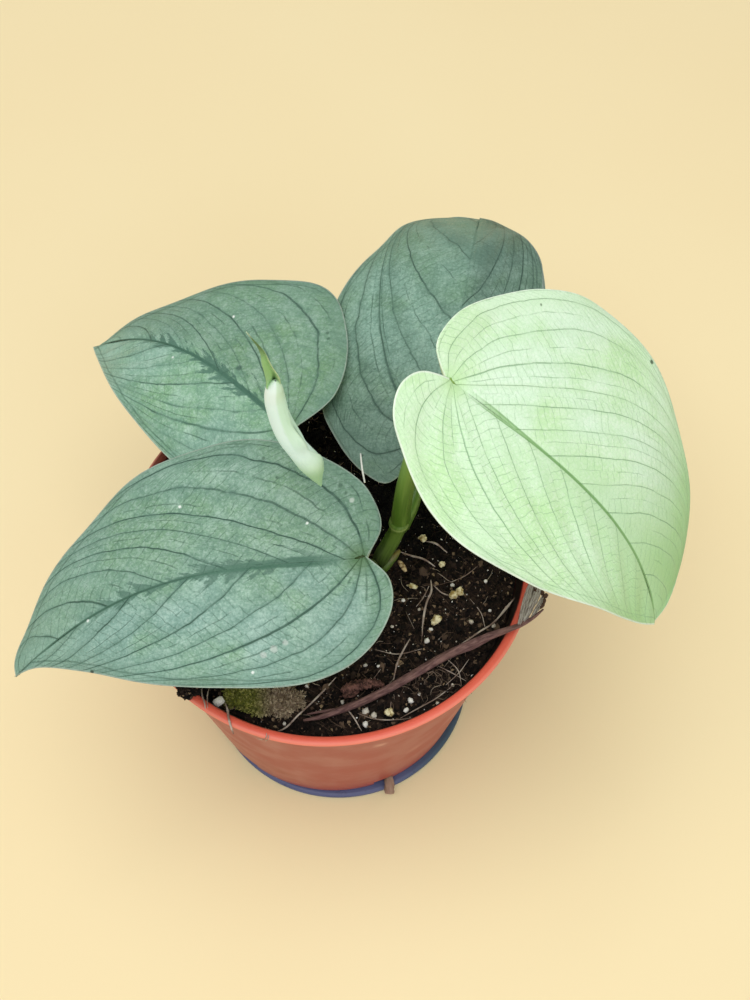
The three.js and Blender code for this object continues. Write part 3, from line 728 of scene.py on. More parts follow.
soil_rings, soil_sectors = 104, 230
print("soil mounds from", round(soil_height(0, 0), 1), "mm down to", round(soil_height(SOIL_RADIUS, 0), 1))
soil_points, soil_faces = [], []
for row in range(soil_rings + 1):
    radius = SOIL_RADIUS * (1 - row / soil_rings)
    for i in range(soil_sectors):
        angle = 2 * math.pi * i / soil_sectors
        x, y = radius * math.cos(angle), radius * math.sin(angle)
        soil_points.append((x, y, soil_height(x, y)))
for row in range(soil_rings):
    for i in range(soil_sectors):
        j = (i + 1) % soil_sectors
        a, b = row * soil_sectors + i, row * soil_sectors + j
        soil_faces.append((a, b, b + soil_sectors, a + soil_sectors))
soil_points = np.array(soil_points)
top_faces = list(soil_faces)
foot_start = len(soil_points)
foot_scale = (wall_radius(5) - WALL - 0.3) / SOIL_RADIUS
foot_ring = soil_points[:soil_sectors] * (foot_scale, foot_scale, 0) + (0, 0, 4.8)
soil_solid = np.concatenate([soil_points, foot_ring])
for i in range(soil_sectors):
    j = (i + 1) % soil_sectors
    soil_faces.append((i, foot_start + i, foot_start + j, j))
soil_faces.append(tuple(range(foot_start, foot_start + soil_sectors)))

# %% Soil finishes
# Under the blades the mix is painted darker, as painted shade: from and to in metres, then the light there
SHADE_UNDER_THE_LEAVES = (-0.006, 0.008, 1.0, 0.08)
peat = Finish("dark_peat", roughness=0.95, specular=0.25)
peat_tone = peat.grain(2.2, 5, 0.65)
peat.colour = peat.over(peat.band(peat_tone, 0.38, 0.7), "080605", "33251d")
peat.coat(peat.band(peat.grain(0.9, 3), 0.62, 0.7, 0.0, 0.6), "6b5444")
peat.relief(peat_tone, 0.9, 0.9)
_, peat_y, _ = peat.axes()
peat.colour = peat.shade(peat.colour, peat.band(peat_y, *SHADE_UNDER_THE_LEAVES))
peat_finish = peat.done()

# %% Crumb and grain finishes
crumb = Finish("peat_crumbs", roughness=0.95, specular=0.25)
tone = crumb.mark("tone")
crumb.colour = crumb.over(crumb.band(tone, 0.1, 0.78), "090706", "3d3028")
crumb.coat(crumb.band(tone, 0.8, 0.9), "75604f")
crumb.coat(crumb.band(tone, 0.95, 0.955), "a58d70")
crumb.relief(crumb.grain(0.5, 3), 0.25, 0.8)
crumb.coat(crumb.times(crumb.grain(0.9, 3), 0.35), "1a130f")
# Crumbs under the blades get the same painted shade
_, crumb_y, _ = crumb.axes()
crumb.colour = crumb.shade(crumb.colour, crumb.band(crumb_y, *SHADE_UNDER_THE_LEAVES))
crumb_finish = crumb.done()

white_grain = Finish("white_grains", roughness=0.85, specular=0.3)
grain_tone = white_grain.mark("tone")
white_grain.colour = white_grain.over(white_grain.band(grain_tone, 0.3, 0.9), "fbf9f4", "d3cabb")
white_grain.coat(white_grain.band(white_grain.grain(0.8, 4), 0.5, 0.7, 0.0, 0.35), "8d8272")
white_grain.relief(white_grain.grain(0.45, 3), 0.2, 0.7)
white_grain_finish = white_grain.done()

soil = make_piece("soil_body", soil_solid, soil_faces, peat_finish)
settle(soil, "soil", "soil")

# %% Scatter the crumbs
reach = np.hypot(soil_points[:, 0], soil_points[:, 1])
free = np.ones(len(soil_points))
for x, y, radius in STEM_FEET:
    free *= np.hypot(soil_points[:, 0] - x, soil_points[:, 1] - y) > radius
free *= reach < SOIL_RADIUS - 0.8
soil_ground = (soil_points, top_faces, free)
crumbs = scatter("soil_crumbs", soil_ground, crumb_kinds(3, 9, 9), crumb_finish,
                 0.95, (0.4, 1.7), math.pi, 11)
settle(crumbs, "soil")
coarse = scatter("coarse_crumbs", soil_ground, crumb_kinds(5, 7, 12, 0.7, 1.3), crumb_finish,
                 0.035, (1.9, 3.4), 0.8, 23)
settle(coarse, "soil")

# %% [markdown]
# White mineral grains lie among the crumbs. Small ones are scattered, and the ones that catch
# the eye stand where they were measured on the real soil. Each of these is a lumpy ball.


# %% A lumpy ball
def lumpy_ball(centre, half, turn_deg, seed, lumps, level_of_detail=3):
    """A closed uneven ball: middle and half sizes in mm."""
    work = bmesh.new()
    bmesh.ops.create_icosphere(work, subdivisions=level_of_detail, radius=1.0)
    turn_by = math.radians(turn_deg)
    points = []
    for vert in work.verts:
        way = vert.co.copy()
        swell = (1 + lumps * noise.noise(way * 1.6 + Vector((seed, 0, seed)))
                 + 0.4 * lumps * noise.noise(way * 4.5 + Vector((0, seed, 3))))
        x, y, z = (way[i] * half[i] * swell for i in range(3))
        points.append((centre[0] + x * math.cos(turn_by) - y * math.sin(turn_by),
                       centre[1] + x * math.sin(turn_by) + y * math.cos(turn_by), centre[2] + z))
    faces = [tuple(v.index for v in face.verts) for face in work.faces]
    work.free()
    return np.array(points), faces, {"tone": np.full(len(points), (seed * 0.37) % 1.0)}


# %% White grains
SEEN_GRAINS = (
    (36.4, -8.5, 1.6), (28.6, -27.0, 2.0), (26.5, -17.1, 1.2), (45.8, -8.5, 1.5), (41.4, -20.7, 1.7),
    (46.9, -17.1, 1.2), (47.9, -21.6, 1.6), (35.4, -31.0, 1.6), (35.8, -39.9, 1.3), (41.5, -36.8, 1.3),
    (31.5, -45.0, 1.3), (22.7, -47.5, 1.9), (13.8, -49.1, 2.3), (24.0, -44.8, 2.0), (18.8, -22.3, 1.2),
    (21.9, -14.7, 1.5), (11.5, -47.9, 2.6), (11.5, -51.7, 2.1), (5.0, -45.0, 1.5), (-5.1, -40.7, 1.3),
    (11.3, -34.0, 1.5), (14.9, -34.9, 1.2), (-10.8, -51.6, 1.3), (26.3, -42.9, 1.1), (29.8, -23.6, 1.4),
)
grain_parts = []
for i, (x, y, size) in enumerate(SEEN_GRAINS):
    half = (size * 0.44, size * 0.36, size * 0.38)
    grain_parts.append(lumpy_ball((x, y, soil_height(x, y) + 0.6), half, 37 * i, 1.3 * i, 0.4, 2))
assemble("seen_grains", grain_parts, white_grain_finish, "chip")
small_grains = scatter("small_grains", soil_ground, crumb_kinds(8, 6, 14), white_grain_finish,
                       0.05, (0.25, 0.75), math.pi, 31)
settle(small_grains, "chip")

# %% Yellowish grains
yellow_grain = Finish("yellow_grains", roughness=0.85, specular=0.3)
yellow_grain.colour = yellow_grain.over(yellow_grain.band(yellow_grain.grain(1.3, 4, 0.6), 0.36, 0.62),
                                        "a58c50", "fbf2c8")
yellow_grain.relief(yellow_grain.grain(0.6, 4), 0.3, 0.8)
yellow_parts = [lumpy_ball((36.3, -12.9, 93.6), (1.25, 1.1, 1.1), 20, 2.1, 0.5),
                lumpy_ball((38.2, -11.9, 93.8), (1.2, 1.05, 1.1), 70, 5.3, 0.5),
                lumpy_ball((31.6, -20.4, 93.5), (1.15, 1.2, 1.1), 10, 7.7, 0.5),
                lumpy_ball((31.0, -20.9, 93.2), (1.6, 1.0, 0.9), 40, 1.7, 0.5),
                lumpy_ball((18.0, -48.4, 93.4), (1.2, 1.2, 0.8), 30, 3.1, 0.5),
                lumpy_ball((33.2, -3.2, 93.6), (1.0, 0.8, 0.8), 30, 8.1, 0.5),
                lumpy_ball((27.6, 5.4, 93.4), (1.1, 1.0, 0.8), 0, 4.7, 0.5),
                lumpy_ball((24.6, -10.2, 93.3), (1.6, 0.7, 0.7), -10, 6.1, 0.5)]
assemble("yellow_grains", yellow_parts, yellow_grain.done(), "grit", "grit_right", "grit_front")

# %% The white chip at the left edge of the soil
work = bmesh.new()
bmesh.ops.create_cube(work, size=1.0)
bmesh.ops.bevel(work, geom=list(work.edges), offset=0.12, segments=2, affect="EDGES")
CHIP_SIZE, CHIP_PLACE = Vector((2.9, 2.2, 1.9)), Vector((-29.0, -46.4, 94.6))
chip_turn = Matrix.Rotation(math.radians(35), 3, "Z") @ Matrix.Rotation(math.radians(25), 3, "X")
chip_points = [tuple(chip_turn @ (v.co * CHIP_SIZE) + CHIP_PLACE) for v in work.verts]
chip_faces = [tuple(v.index for v in face.verts) for face in work.faces]
work.free()
chip = make_piece("white_chip_piece", chip_points, chip_faces, white_grain_finish,
                  {"tone": np.zeros(len(chip_points))})
settle(chip, "chip", "white_chip")

# %% [markdown]
# ## Old roots, bark and the dry stalk
# Thin pale roots run over the mix, a brown stalk lies across it and out over the rim, and its
# dried sheath ends in a frayed grey tatter. They are tubes and cupped strips on measured paths.


# %% Root threads
root_finish = two_tone("pale_root", 0.8, 0.3, ("8a7468", "c9bcb0"), lumps=(3.5, 3), ends=(0.35, 0.65))


def thread(points, radius, seed=0):
    """A thin root that tapers at its ends and wavers a little."""
    rows = []
    for i, (x, y, z) in enumerate(points):
        end = 0.45 if i in (0, len(points) - 1) else 1.0
        rows.append((x + 0.3 * rough((x, y, z), 3, seed), y + 0.3 * rough((y, x, z), 3, seed),
                     z, radius * end))
    return tube(rows, sides=7, per_span=6)[:2] + ({},)


def lying(points, lift):
    return [(x, y, soil_height(x, y) + lift) for x, y in points]


FIRST_ROOT = [(29.9, -8.6, 94.2), (29.8, -12.2, 94.6), (28.6, -16.0, 94.5), (27.6, -21.0, 94.1),
              (27.2, -25.9, 93.5)]
SECOND_ROOT = [(23.8, -26.8, 93.8), (21.8, -30.2, 94.4), (20.0, -34.9, 94.7), (19.2, -39.6, 94.8)]
assemble("first_root", [thread(FIRST_ROOT, 0.3)], root_finish, "root", "surface_root_1")
assemble("second_root", [thread(SECOND_ROOT, 0.26)], root_finish, "root", "surface_root_2")

# %% The other threads
# Each thread is its path and its radius; a lying path follows the soil, lifted by so many mm
THREADS = (
    (lying([(3.1, -38.4), (-0.1, -42.2), (-3.7, -46.2), (-6.9, -50.0), (-11.1, -53.2),
            (-15.2, -54.6)], 1.3), 0.24),
    (lying([(54.7, -12.7), (51.7, -16.5), (47.9, -21.2), (43.5, -24.9), (39.2, -28.0), (35.5, -30.5),
            (32.1, -32.9)], 2.6), 0.24),
    (lying([(54.0, -13.8), (50.4, -18.6), (46.6, -22.6), (42.2, -26.2)], 2.9), 0.17),
    (lying([(29.4, -10.6), (27.6, -13.6), (25.6, -16.8)], 1.2), 0.2),
    (lying([(20.8, 0.2), (24.3, 0.0), (27.8, -1.3), (31.3, -3.5)], 1.6), 0.3),
    (lying([(28.6, 5.0), (31.6, 3.0), (34.6, 0.6)], 1.3), 0.3),
    (lying([(30.6, -10.4), (33.2, -12.0), (36.0, -13.4)], 1.0), 0.2),
    (lying([(15.6, -36.2), (12.2, -40.6)], 1.6), 0.18),
    (lying([(18.6, -45.4), (18.2, -48.6)], 1.2), 0.24),
    (lying([(5.4, -46.6), (8.2, -50.2), (10.6, -53.8)], 1.4), 0.22),
    (lying([(9.4, -48.8), (13.8, -50.4), (19.6, -50.2), (24.6, -49.4)], 1.2), 0.16),
    (lying([(21.0, -49.8), (26.0, -46.8), (31.0, -44.0), (36.0, -40.0)], 1.2), 0.18),
    (lying([(31.6, -34.6), (35.0, -36.4), (39.6, -38.6)], 1.5), 0.15),
    (lying([(34.2, -32.6), (37.2, -36.2), (38.4, -40.6)], 1.6), 0.15),
    (lying([(40.4, -32.4), (37.6, -36.6), (33.8, -40.4)], 1.5), 0.14),
    (lying([(36.0, -8.0), (40.0, -6.4), (43.6, -3.6)], 1.2), 0.14),
    (lying([(41.0, -14.0), (44.2, -17.8), (45.4, -22.4)], 1.2), 0.14),
    (lying([(22.6, -18.0), (25.0, -23.6)], 1.4), 0.14),
    (lying([(14.0, -30.0), (20.0, -30.8), (27.0, -30.2)], 1.3), 0.16),
    ([(-33.6, -42.6, 96.0), (-33.0, -46.2, 99.0), (-32.2, -49.2, 99.6), (-32.0, -50.4, 98.6)], 0.2),
    ([(-31.8, -42.8, 96.0), (-31.6, -46.4, 99.0), (-31.4, -50.0, 99.4)], 0.17),
    ([(-26.9, -47.4, 96.4), (-26.0, -50.4, 98.8), (-25.4, -53.0, 99.6), (-24.9, -54.6, 99.0),
      (-24.2, -56.2, 96.6)], 0.32),
    ([(-15.6, -54.2, 97.0), (-15.0, -57.8, 99.4), (-16.4, -57.4, 95.4), (-18.2, -56.0, 92.6)], 0.13),
    ([(-14.6, -54.6, 97.0), (-14.4, -58.0, 99.2), (-15.4, -57.2, 94.0), (-15.8, -56.6, 91.6)], 0.13),
)
thread_parts = [thread(points, radius, i) for i, (points, radius) in enumerate(THREADS)]

# %% A mat of fine brown roots under the stalk
MAT_MIDDLE, MAT_REACH, MAT_THREADS = (32.5, -39.5), 7.5, 60
draw = np.random.default_rng(61)
fibre_parts = []
for i in range(MAT_THREADS):
    turn, out = draw.uniform(0, 2 * math.pi), MAT_REACH * math.sqrt(draw.uniform())
    x, y = MAT_MIDDLE[0] + 1.25 * out * math.cos(turn), MAT_MIDDLE[1] + 0.75 * out * math.sin(turn)
    way, half = draw.uniform(0, math.pi), draw.uniform(0.8, 2.6)
    ends = [(x + s * half * math.cos(way + 0.5 * s), y + s * half * math.sin(way + 0.5 * s))
            for s in (-1, 0, 1)]
    path = [(px, py, pz + draw.uniform(0, 1.1)) for px, py, pz in lying(ends, 0.9)]
    fibre_parts.append(thread(path, draw.uniform(0.05, 0.13), 40 + i))
brown_root = two_tone("brown_root", 0.85, 0.3, ("3c2e26", "8b7868"), lumps=(3, 3), ends=(0.35, 0.65))
assemble("root_mat", fibre_parts, brown_root, "root")
assemble("root_threads", thread_parts, root_finish, "root")


# %% Short loose root hairs, scattered
def hair_kinds(seed, count):
    """Short curved threads that lie flat, a few mm long."""
    draw = np.random.default_rng(seed)
    kinds = []
    for _ in range(count):
        bend = draw.uniform(-0.6, 0.6)
        reach_mm = draw.uniform(3.0, 8.0)
        rows = []
        for x in np.linspace(-0.5, 0.5, 5):
            rows.append((x * reach_mm, bend * (x * 2) ** 2 * 1.4 + draw.uniform(-0.25, 0.25),
                         0.5 + 0.5 * draw.uniform(), 0.09 if abs(x) < 0.5 else 0.04))
        points, faces, _ = tube(rows, sides=4, per_span=3)
        kinds.append((points, faces))
    return kinds


root_bits = Finish("root_bits", roughness=0.85, specular=0.3)
bit_tone = root_bits.mark("tone")
root_bits.colour = root_bits.over(root_bits.band(bit_tone, 0.2, 0.85), "2f221c", "6f5b4d")
root_bits.coat(root_bits.band(bit_tone, 0.88, 0.93), "ab9c8b")
hairs = scatter("root_hairs", soil_ground, hair_kinds(17, 8), root_bits.done(), 0.075, (0.5, 1.1), 0.45, 41)
settle(hairs, "root")

# %% [markdown]
# The stalk has a ropey, fibrous skin. Its section is a circle with shallow lengthwise ridges,
# thinner and thicker along its length, and a forked left end.

# %% Dry stalk
stalk_skin = Finish("dry_stalk_skin", roughness=0.85, specular=0.3)
fibres = stalk_skin.fibres(4, 0.6, 1.5, 0.3)
stalk_skin.colour = stalk_skin.over(stalk_skin.band(fibres, 0.3, 0.72), "54393a", "8c6c66")
stalk_skin.coat(stalk_skin.band(stalk_skin.grain(9, 2), 0.4, 0.7, 0.0, 0.5), "77594f")
stalk_skin.relief(fibres, 0.35, 0.9)


def ridged(angles, share):
    return 1 + 0.09 * np.sin(5 * angles + 14 * share) + 0.05 * np.sin(11 * angles - 9 * share)


DRY_STALK = [(-5.5, -51.2, 93.8, 0.3), (-1.5, -50.6, 94.4, 0.6), (1.7, -49.7, 94.9, 0.8),
             (5.8, -48.1, 95.1, 0.95), (9.9, -46.4, 95.2, 1.0), (15.4, -43.6, 95.3, 1.05),
             (20.9, -40.5, 95.5, 1.1), (26.5, -37.2, 95.9, 1.15), (32.1, -33.9, 96.6, 1.2),
             (36.4, -31.8, 97.4, 1.2), (40.6, -30.0, 98.3, 1.2), (45.8, -28.2, 100.0, 1.05),
             (50.9, -26.6, 101.0, 0.8), (54.9, -25.0, 101.2, 0.65), (58.6, -22.6, 101.3, 0.45),
             (61.0, -20.4, 101.1, 0.25)]
FORK = [(4.6, -48.4, 94.9, 0.55), (-0.4, -48.8, 94.5, 0.4), (-4.6, -49.6, 94.1, 0.2)]
BRANCHES = [FORK, [(36.4, -32.6, 97.0, 0.4), (41.6, -30.8, 98.2, 0.5), (46.6, -28.6, 99.9, 0.35)]]

# %% A cupped strip
STRIP_COLUMNS = 9


def cupped_strip(path, widths, cup, thickness, waves, seed):
    """A thin strip that is cupped along its length and uneven by its waves."""
    line = smooth_path([(*p, w) for p, w in zip(path, widths)], 8)
    _, normals, sides = carried_frames(line[:, :3], (0.35, -0.3, 0.9))
    across = np.linspace(-1, 1, STRIP_COLUMNS)
    rings = []
    for row in range(len(line)):
        half = line[row, 3] / 2
        fray = np.array([waves * rough((a * 6, row * 1.7, seed), 2.0, seed) for a in across])
        bed = (line[row, :3] + np.outer(across * half, sides[row])
               + np.outer(-cup * across**2 * half + fray, normals[row]))
        skin = bed + normals[row] * thickness
        rings.append(np.concatenate([bed, skin[::-1]]))
    marks = {"turn": np.tile(np.concatenate([across, across[::-1]]) * 2.2, len(line)),
             "way": np.repeat(np.arange(len(line)) * 1.0, 2 * STRIP_COLUMNS)}
    return np.concatenate(rings), closed_sheet(rings, STRIP_COLUMNS), marks


# %% Stalk and torn sheath
stalk_parts = [tube(DRY_STALK, sides=20, per_span=8, shape=ridged)]
stalk_parts += [tube(rows, sides=10, per_span=6, shape=ridged) for rows in BRANCHES]
assemble("dry_stalk", stalk_parts, stalk_skin.done(), "dry_stalk", "dry_stick")

grey_skin = two_tone("dry_sheath_skin", 0.9, 0.25, ("71665e", "b9b3ab"), fibres=(4, 0.65, 1.3, 0.16),
                     ends=(0.36, 0.6), relief=(0.3, 0.9))
sheath_parts = [
    cupped_strip([(53.8, -25.4, 101.6), (55.0, -21.6, 102.0), (56.3, -17.6, 102.1), (58.0, -12.6, 101.6)],
                 (0.9, 1.9, 2.3, 2.0), -0.35, 0.3, 0.35, 2.0),
    cupped_strip([(55.4, -24.4, 101.6), (57.3, -20.8, 102.3), (58.9, -17.4, 102.3), (60.4, -12.8, 101.7)],
                 (0.9, 1.7, 2.1, 2.0), 0.4, 0.3, 0.4, 7.0),
    cupped_strip([(57.4, -23.2, 101.3), (59.3, -20.0, 101.6), (61.0, -16.6, 101.4)],
                 (0.7, 1.3, 0.9), -0.4, 0.3, 0.5, 5.0),
]
assemble("dry_sheath", sheath_parts, grey_skin, "dry_stalk")

# %% The frayed tip
frayed = two_tone("frayed_end", 0.9, 0.25, ("33241d", "6b5242"), lumps=(1.2, 3))
FRAY_BITS = ((60.6, -19.6, 101.6, 50, 1.1), (61.3, -18.0, 101.5, 80, 2.3), (61.7, -16.5, 101.7, 30, 3.7),
             (59.0, -15.2, 102.2, 70, 4.9), (61.0, -15.6, 101.4, 110, 6.3))
fray_parts = [lumpy_ball((x, y, z), (1.0, 0.55, 0.5), turn_deg, seed, 0.8, 2)
              for x, y, z, turn_deg, seed in FRAY_BITS]
assemble("frayed_tip", fray_parts, frayed, "dry_stalk")

# %% Bark flake
bark_skin = two_tone("bark_skin", 0.9, 0.25, ("2a1a16", "8a6258"), lumps=(1.3, 5, 0.65),
                     ends=(0.36, 0.68), relief=(0.5, 0.9))


def scaly(angles, share):
    """Rings of overlapping scales along the flake."""
    step = (share * 10) % 1.0
    return 0.72 + 0.36 * step + 0.12 * np.sin(4 * angles + 9 * share)


FLAKE = [(4.6, -42.6, 93.8, 0.7), (6.6, -41.9, 94.3, 1.4), (9.6, -41.1, 94.6, 1.6),
         (12.6, -40.6, 94.6, 1.6), (15.0, -40.6, 94.3, 1.2), (16.6, -40.8, 93.9, 0.5)]
flake_parts = [tube(FLAKE, 18, 16, scaly), lumpy_ball((7.0, -43.2, 93.6), (2.6, 1.1, 0.8), 20, 6.4, 0.7)]
flake_parts = [(points, faces, {}) for points, faces, _ in flake_parts]
assemble("bark_flake_piece", flake_parts, bark_skin, "bark", "bark_flake")

# %% Pellet
tan_skin = two_tone("tan_pellet", 0.8, 0.3, ("8f6f48", "e6cf9f"), lumps=(0.9, 3), ends=(0.35, 0.6))
PELLET = [(20.5, -2.6, 94.4, 0.3), (20.9, -3.3, 94.7, 0.65), (21.6, -4.4, 94.8, 0.75),
          (22.3, -5.5, 94.7, 0.65), (22.7, -6.1, 94.5, 0.3)]
assemble("pellet", [tube(PELLET, 14, 5)], tan_skin, "bark", "bark_pellet")

# %% The stub of root at the foot
stub_skin = two_tone("stub_skin", 0.85, 0.3, ("8a6a58", "b59a86"), fibres=(3, 0.6, 1.6, 0.3),
                     relief=(0.3, 0.8))
DRAIN_STUB = [(18.9, -39.8, 5.2, 1.3), (19.3, -41.6, 5.1, 1.5), (19.4, -43.2, 4.7, 1.6),
              (19.45, -44.6, 4.2, 1.6), (19.5, -45.7, 3.7, 1.55), (19.5, -45.9, 3.6, 1.45)]
assemble("root_stub", [tube(DRAIN_STUB, 16, 6, ridged)], stub_skin, "root", "drain_root")

# %% [markdown]
# ## Moss and spilled crumbs
# A cushion of moss grows at the front edge, green on the left and dry and brown on the right.
# The cushion is a lump, and its shoots are scattered: each shoot is a few tiny pointed leaves.

# %% Moss cushion
moss_skin = Finish("moss_bed", roughness=0.95, specular=0.2)
moss_x, _, _ = moss_skin.axes()
dry_share = moss_skin.band(moss_x, -0.0205, -0.0125)
moss_skin.colour = moss_skin.over(moss_skin.grain(1.2, 4), "4a5018", "8c9040")
moss_skin.coat(dry_share, moss_skin.over(moss_skin.grain(1.2, 4), "54463a", "a8957d"))
moss_skin.relief(moss_skin.grain(0.8, 4), 0.8, 1.0)
moss_parts = [lumpy_ball((-19.6, -44.6, 93.0), (8.0, 3.8, 1.9), -6, 3.3, 0.35, 4),
              lumpy_ball((-11.6, -45.8, 93.0), (5.6, 3.8, 1.9), 10, 8.3, 0.4, 4)]
moss_points, moss_faces, _ = gather(moss_parts)
settle(make_piece("moss_bed", moss_points, moss_faces, moss_skin.done()), "moss", "moss_patch")


# %% Kinds of moss shoots
def shoot_kinds(seed, count):
    """Moss shoots: five to seven slim bent leaves on one spot, about 1 mm tall."""
    draw = np.random.default_rng(seed)
    kinds = []
    for _ in range(count):
        points, faces = [], []
        for _ in range(draw.integers(5, 8)):
            way = draw.uniform(0, 2 * math.pi)
            lean, tall, wide = draw.uniform(0.15, 0.6), draw.uniform(0.7, 1.2), draw.uniform(0.1, 0.17)
            out = np.array((math.cos(way), math.sin(way), 0))
            flank = np.array((-out[1], out[0], 0)) * wide
            low = out * 0.05
            middle = out * lean * 0.5 + (0, 0, tall * 0.6)
            tip = out * lean * 1.3 + (0, 0, tall)
            back = out * 0.05
            start = len(points)
            points += [low - flank, low + flank, middle - flank, middle + flank, tip,
                       middle - back, low - back]
            faces += [(start, start + 1, start + 3, start + 2), (start + 2, start + 3, start + 4),
                      (start + 1, start + 6, start + 5, start + 3), (start + 6, start, start + 2, start + 5),
                      (start + 3, start + 5, start + 4), (start + 5, start + 2, start + 4),
                      (start, start + 6, start + 1)]
        kinds.append((np.array(points), faces))
    return kinds


# %% Scatter the shoots
moss_leaf = Finish("moss_shoots", roughness=0.8, specular=0.3)
moss_tone = moss_leaf.mark("tone")
leaf_x, _, _ = moss_leaf.axes()
moss_leaf.colour = moss_leaf.over(moss_tone, "5c6428", "bcb96a")
moss_leaf.coat(moss_leaf.band(leaf_x, -0.0205, -0.0135), moss_leaf.over(moss_tone, "77654f", "d0bfa4"))
upper = (moss_points[:, 2] > 92.6).astype(float)
shoots = scatter("moss_shoots", (moss_points, moss_faces, upper), shoot_kinds(29, 7), moss_leaf.done(),
                 3.0, (0.6, 1.15), 0.45, 51)
settle(shoots, "moss")

# %% Crumbs on the rim at the left
spill_points, spill_faces, _ = lumpy_ball((-37.4, -44.4, 99.9), (4.2, 2.4, 0.9), -40, 2.9, 0.5)
settle(make_piece("spill_bed", spill_points, spill_faces, peat_finish), "soil", "soil_spill")
spill_top = (spill_points[:, 2] > 99.7).astype(float)
spill_bits = scatter("spill_crumbs", (spill_points, spill_faces, spill_top), crumb_kinds(13, 6, 9),
                     crumb_finish, 1.6, (0.5, 1.5), math.pi, 61)
settle(spill_bits, "soil")

# %% [markdown]
# ## Stems and petioles
# The main stem rises green from the mix to a pale ring, where two petioles part: one climbs to
# the pale leaf, the other, with a flat wing, reaches back. A third is hidden under the front
# leaf and is painted darker, as painted shade. Fine ridges run along each, and the colour is
# painted darker towards the soil, as painted shade.

# %% Stem skin
stem_skin = Finish("green_stem", roughness=0.38, specular=0.5)
_, _, stem_z = stem_skin.axes()
ridges = stem_skin.fibres(2, 0.5, 2.0, 0.05)
# The stem is painted darker low down, as painted shade near the soil
stem_skin.colour = stem_skin.over(stem_skin.band(stem_z, 0.1, 0.125), "1e320b", "4c7023")
stem_skin.coat(stem_skin.band(stem_z, 0.13, 0.17), "86ad50")
stem_skin.coat(stem_skin.band(ridges, 0.42, 0.66, 0.0, 0.3), "8cac52")
stem_skin.coat(stem_skin.times(stem_skin.mark("ring"), 0.7), "a8be78")
# The foot of the stem is painted near black as painted shade, except on the bud
foot = stem_skin.times(stem_skin.band(stem_z, 0.1, 0.114, 0.95, 0.0),
                       stem_skin.maths("SUBTRACT", 1.0, stem_skin.mark("bud")))
stem_skin.coat(foot, "100d07")
stem_skin.coat(stem_skin.times(stem_skin.mark("bud"), 0.85), "506a28")
stem_skin.coat(stem_skin.mark("dry"), "8d7440")
# Painted shade on the petiole under the front leaf
stem_skin.coat(stem_skin.mark("under_leaf_shade"), "1a2a12")
stem_skin.relief(ridges, 0.16, 0.7)
stem_finish = stem_skin.done()


# %% One part of a stem
def stem_part(points, sides=24, shape=None, ring_z=None, dry_from=None, first=(1.0, 0.0, 0.0), under_leaf_shade=0.0):
    """A stem tube with four more marks: the pale ring, the dry tip, the bud and a part painted darker as shade
    under a leaf.
    """
    spots, faces, marks = tube(points, sides, 8, shape, first)
    z = spots[:, 2]
    marks["ring"] = np.exp(-((z - ring_z) / 0.4) ** 2) if ring_z else np.zeros(len(z))
    marks["dry"] = np.clip((z - dry_from) / 2.0, 0, 1) if dry_from else np.zeros(len(z))
    marks["bud"] = np.full(len(z), 1.0 if dry_from else 0.0)
    marks["under_leaf_shade"] = np.full(len(z), under_leaf_shade)
    return spots, faces, marks


def winged(angles, share):
    """A petiole section with a raised wing on each side of a shallow groove."""
    wing = 0.28 * (1 - share) ** 0.7
    return (1 + wing * np.exp(-((angles - 0.7) / 0.3) ** 2) + wing * np.exp(-((angles - 2.4) / 0.3) ** 2)
            - 0.1 * np.exp(-((angles - 1.55) / 0.4) ** 2))


# %% [markdown]
# ## The shape of a leaf blade
# A blade is a smooth surface over a straight line from petiole to tip. It arches along the
# midrib, rises a little beside it and rolls down towards the margin. The margin is a smooth
# curve through measured points, and the side veins swing out from the midrib and bend forward
# into it. The grid of the mesh follows these veins, so every vein is a line of the grid and a
# finish can draw it from two marks.

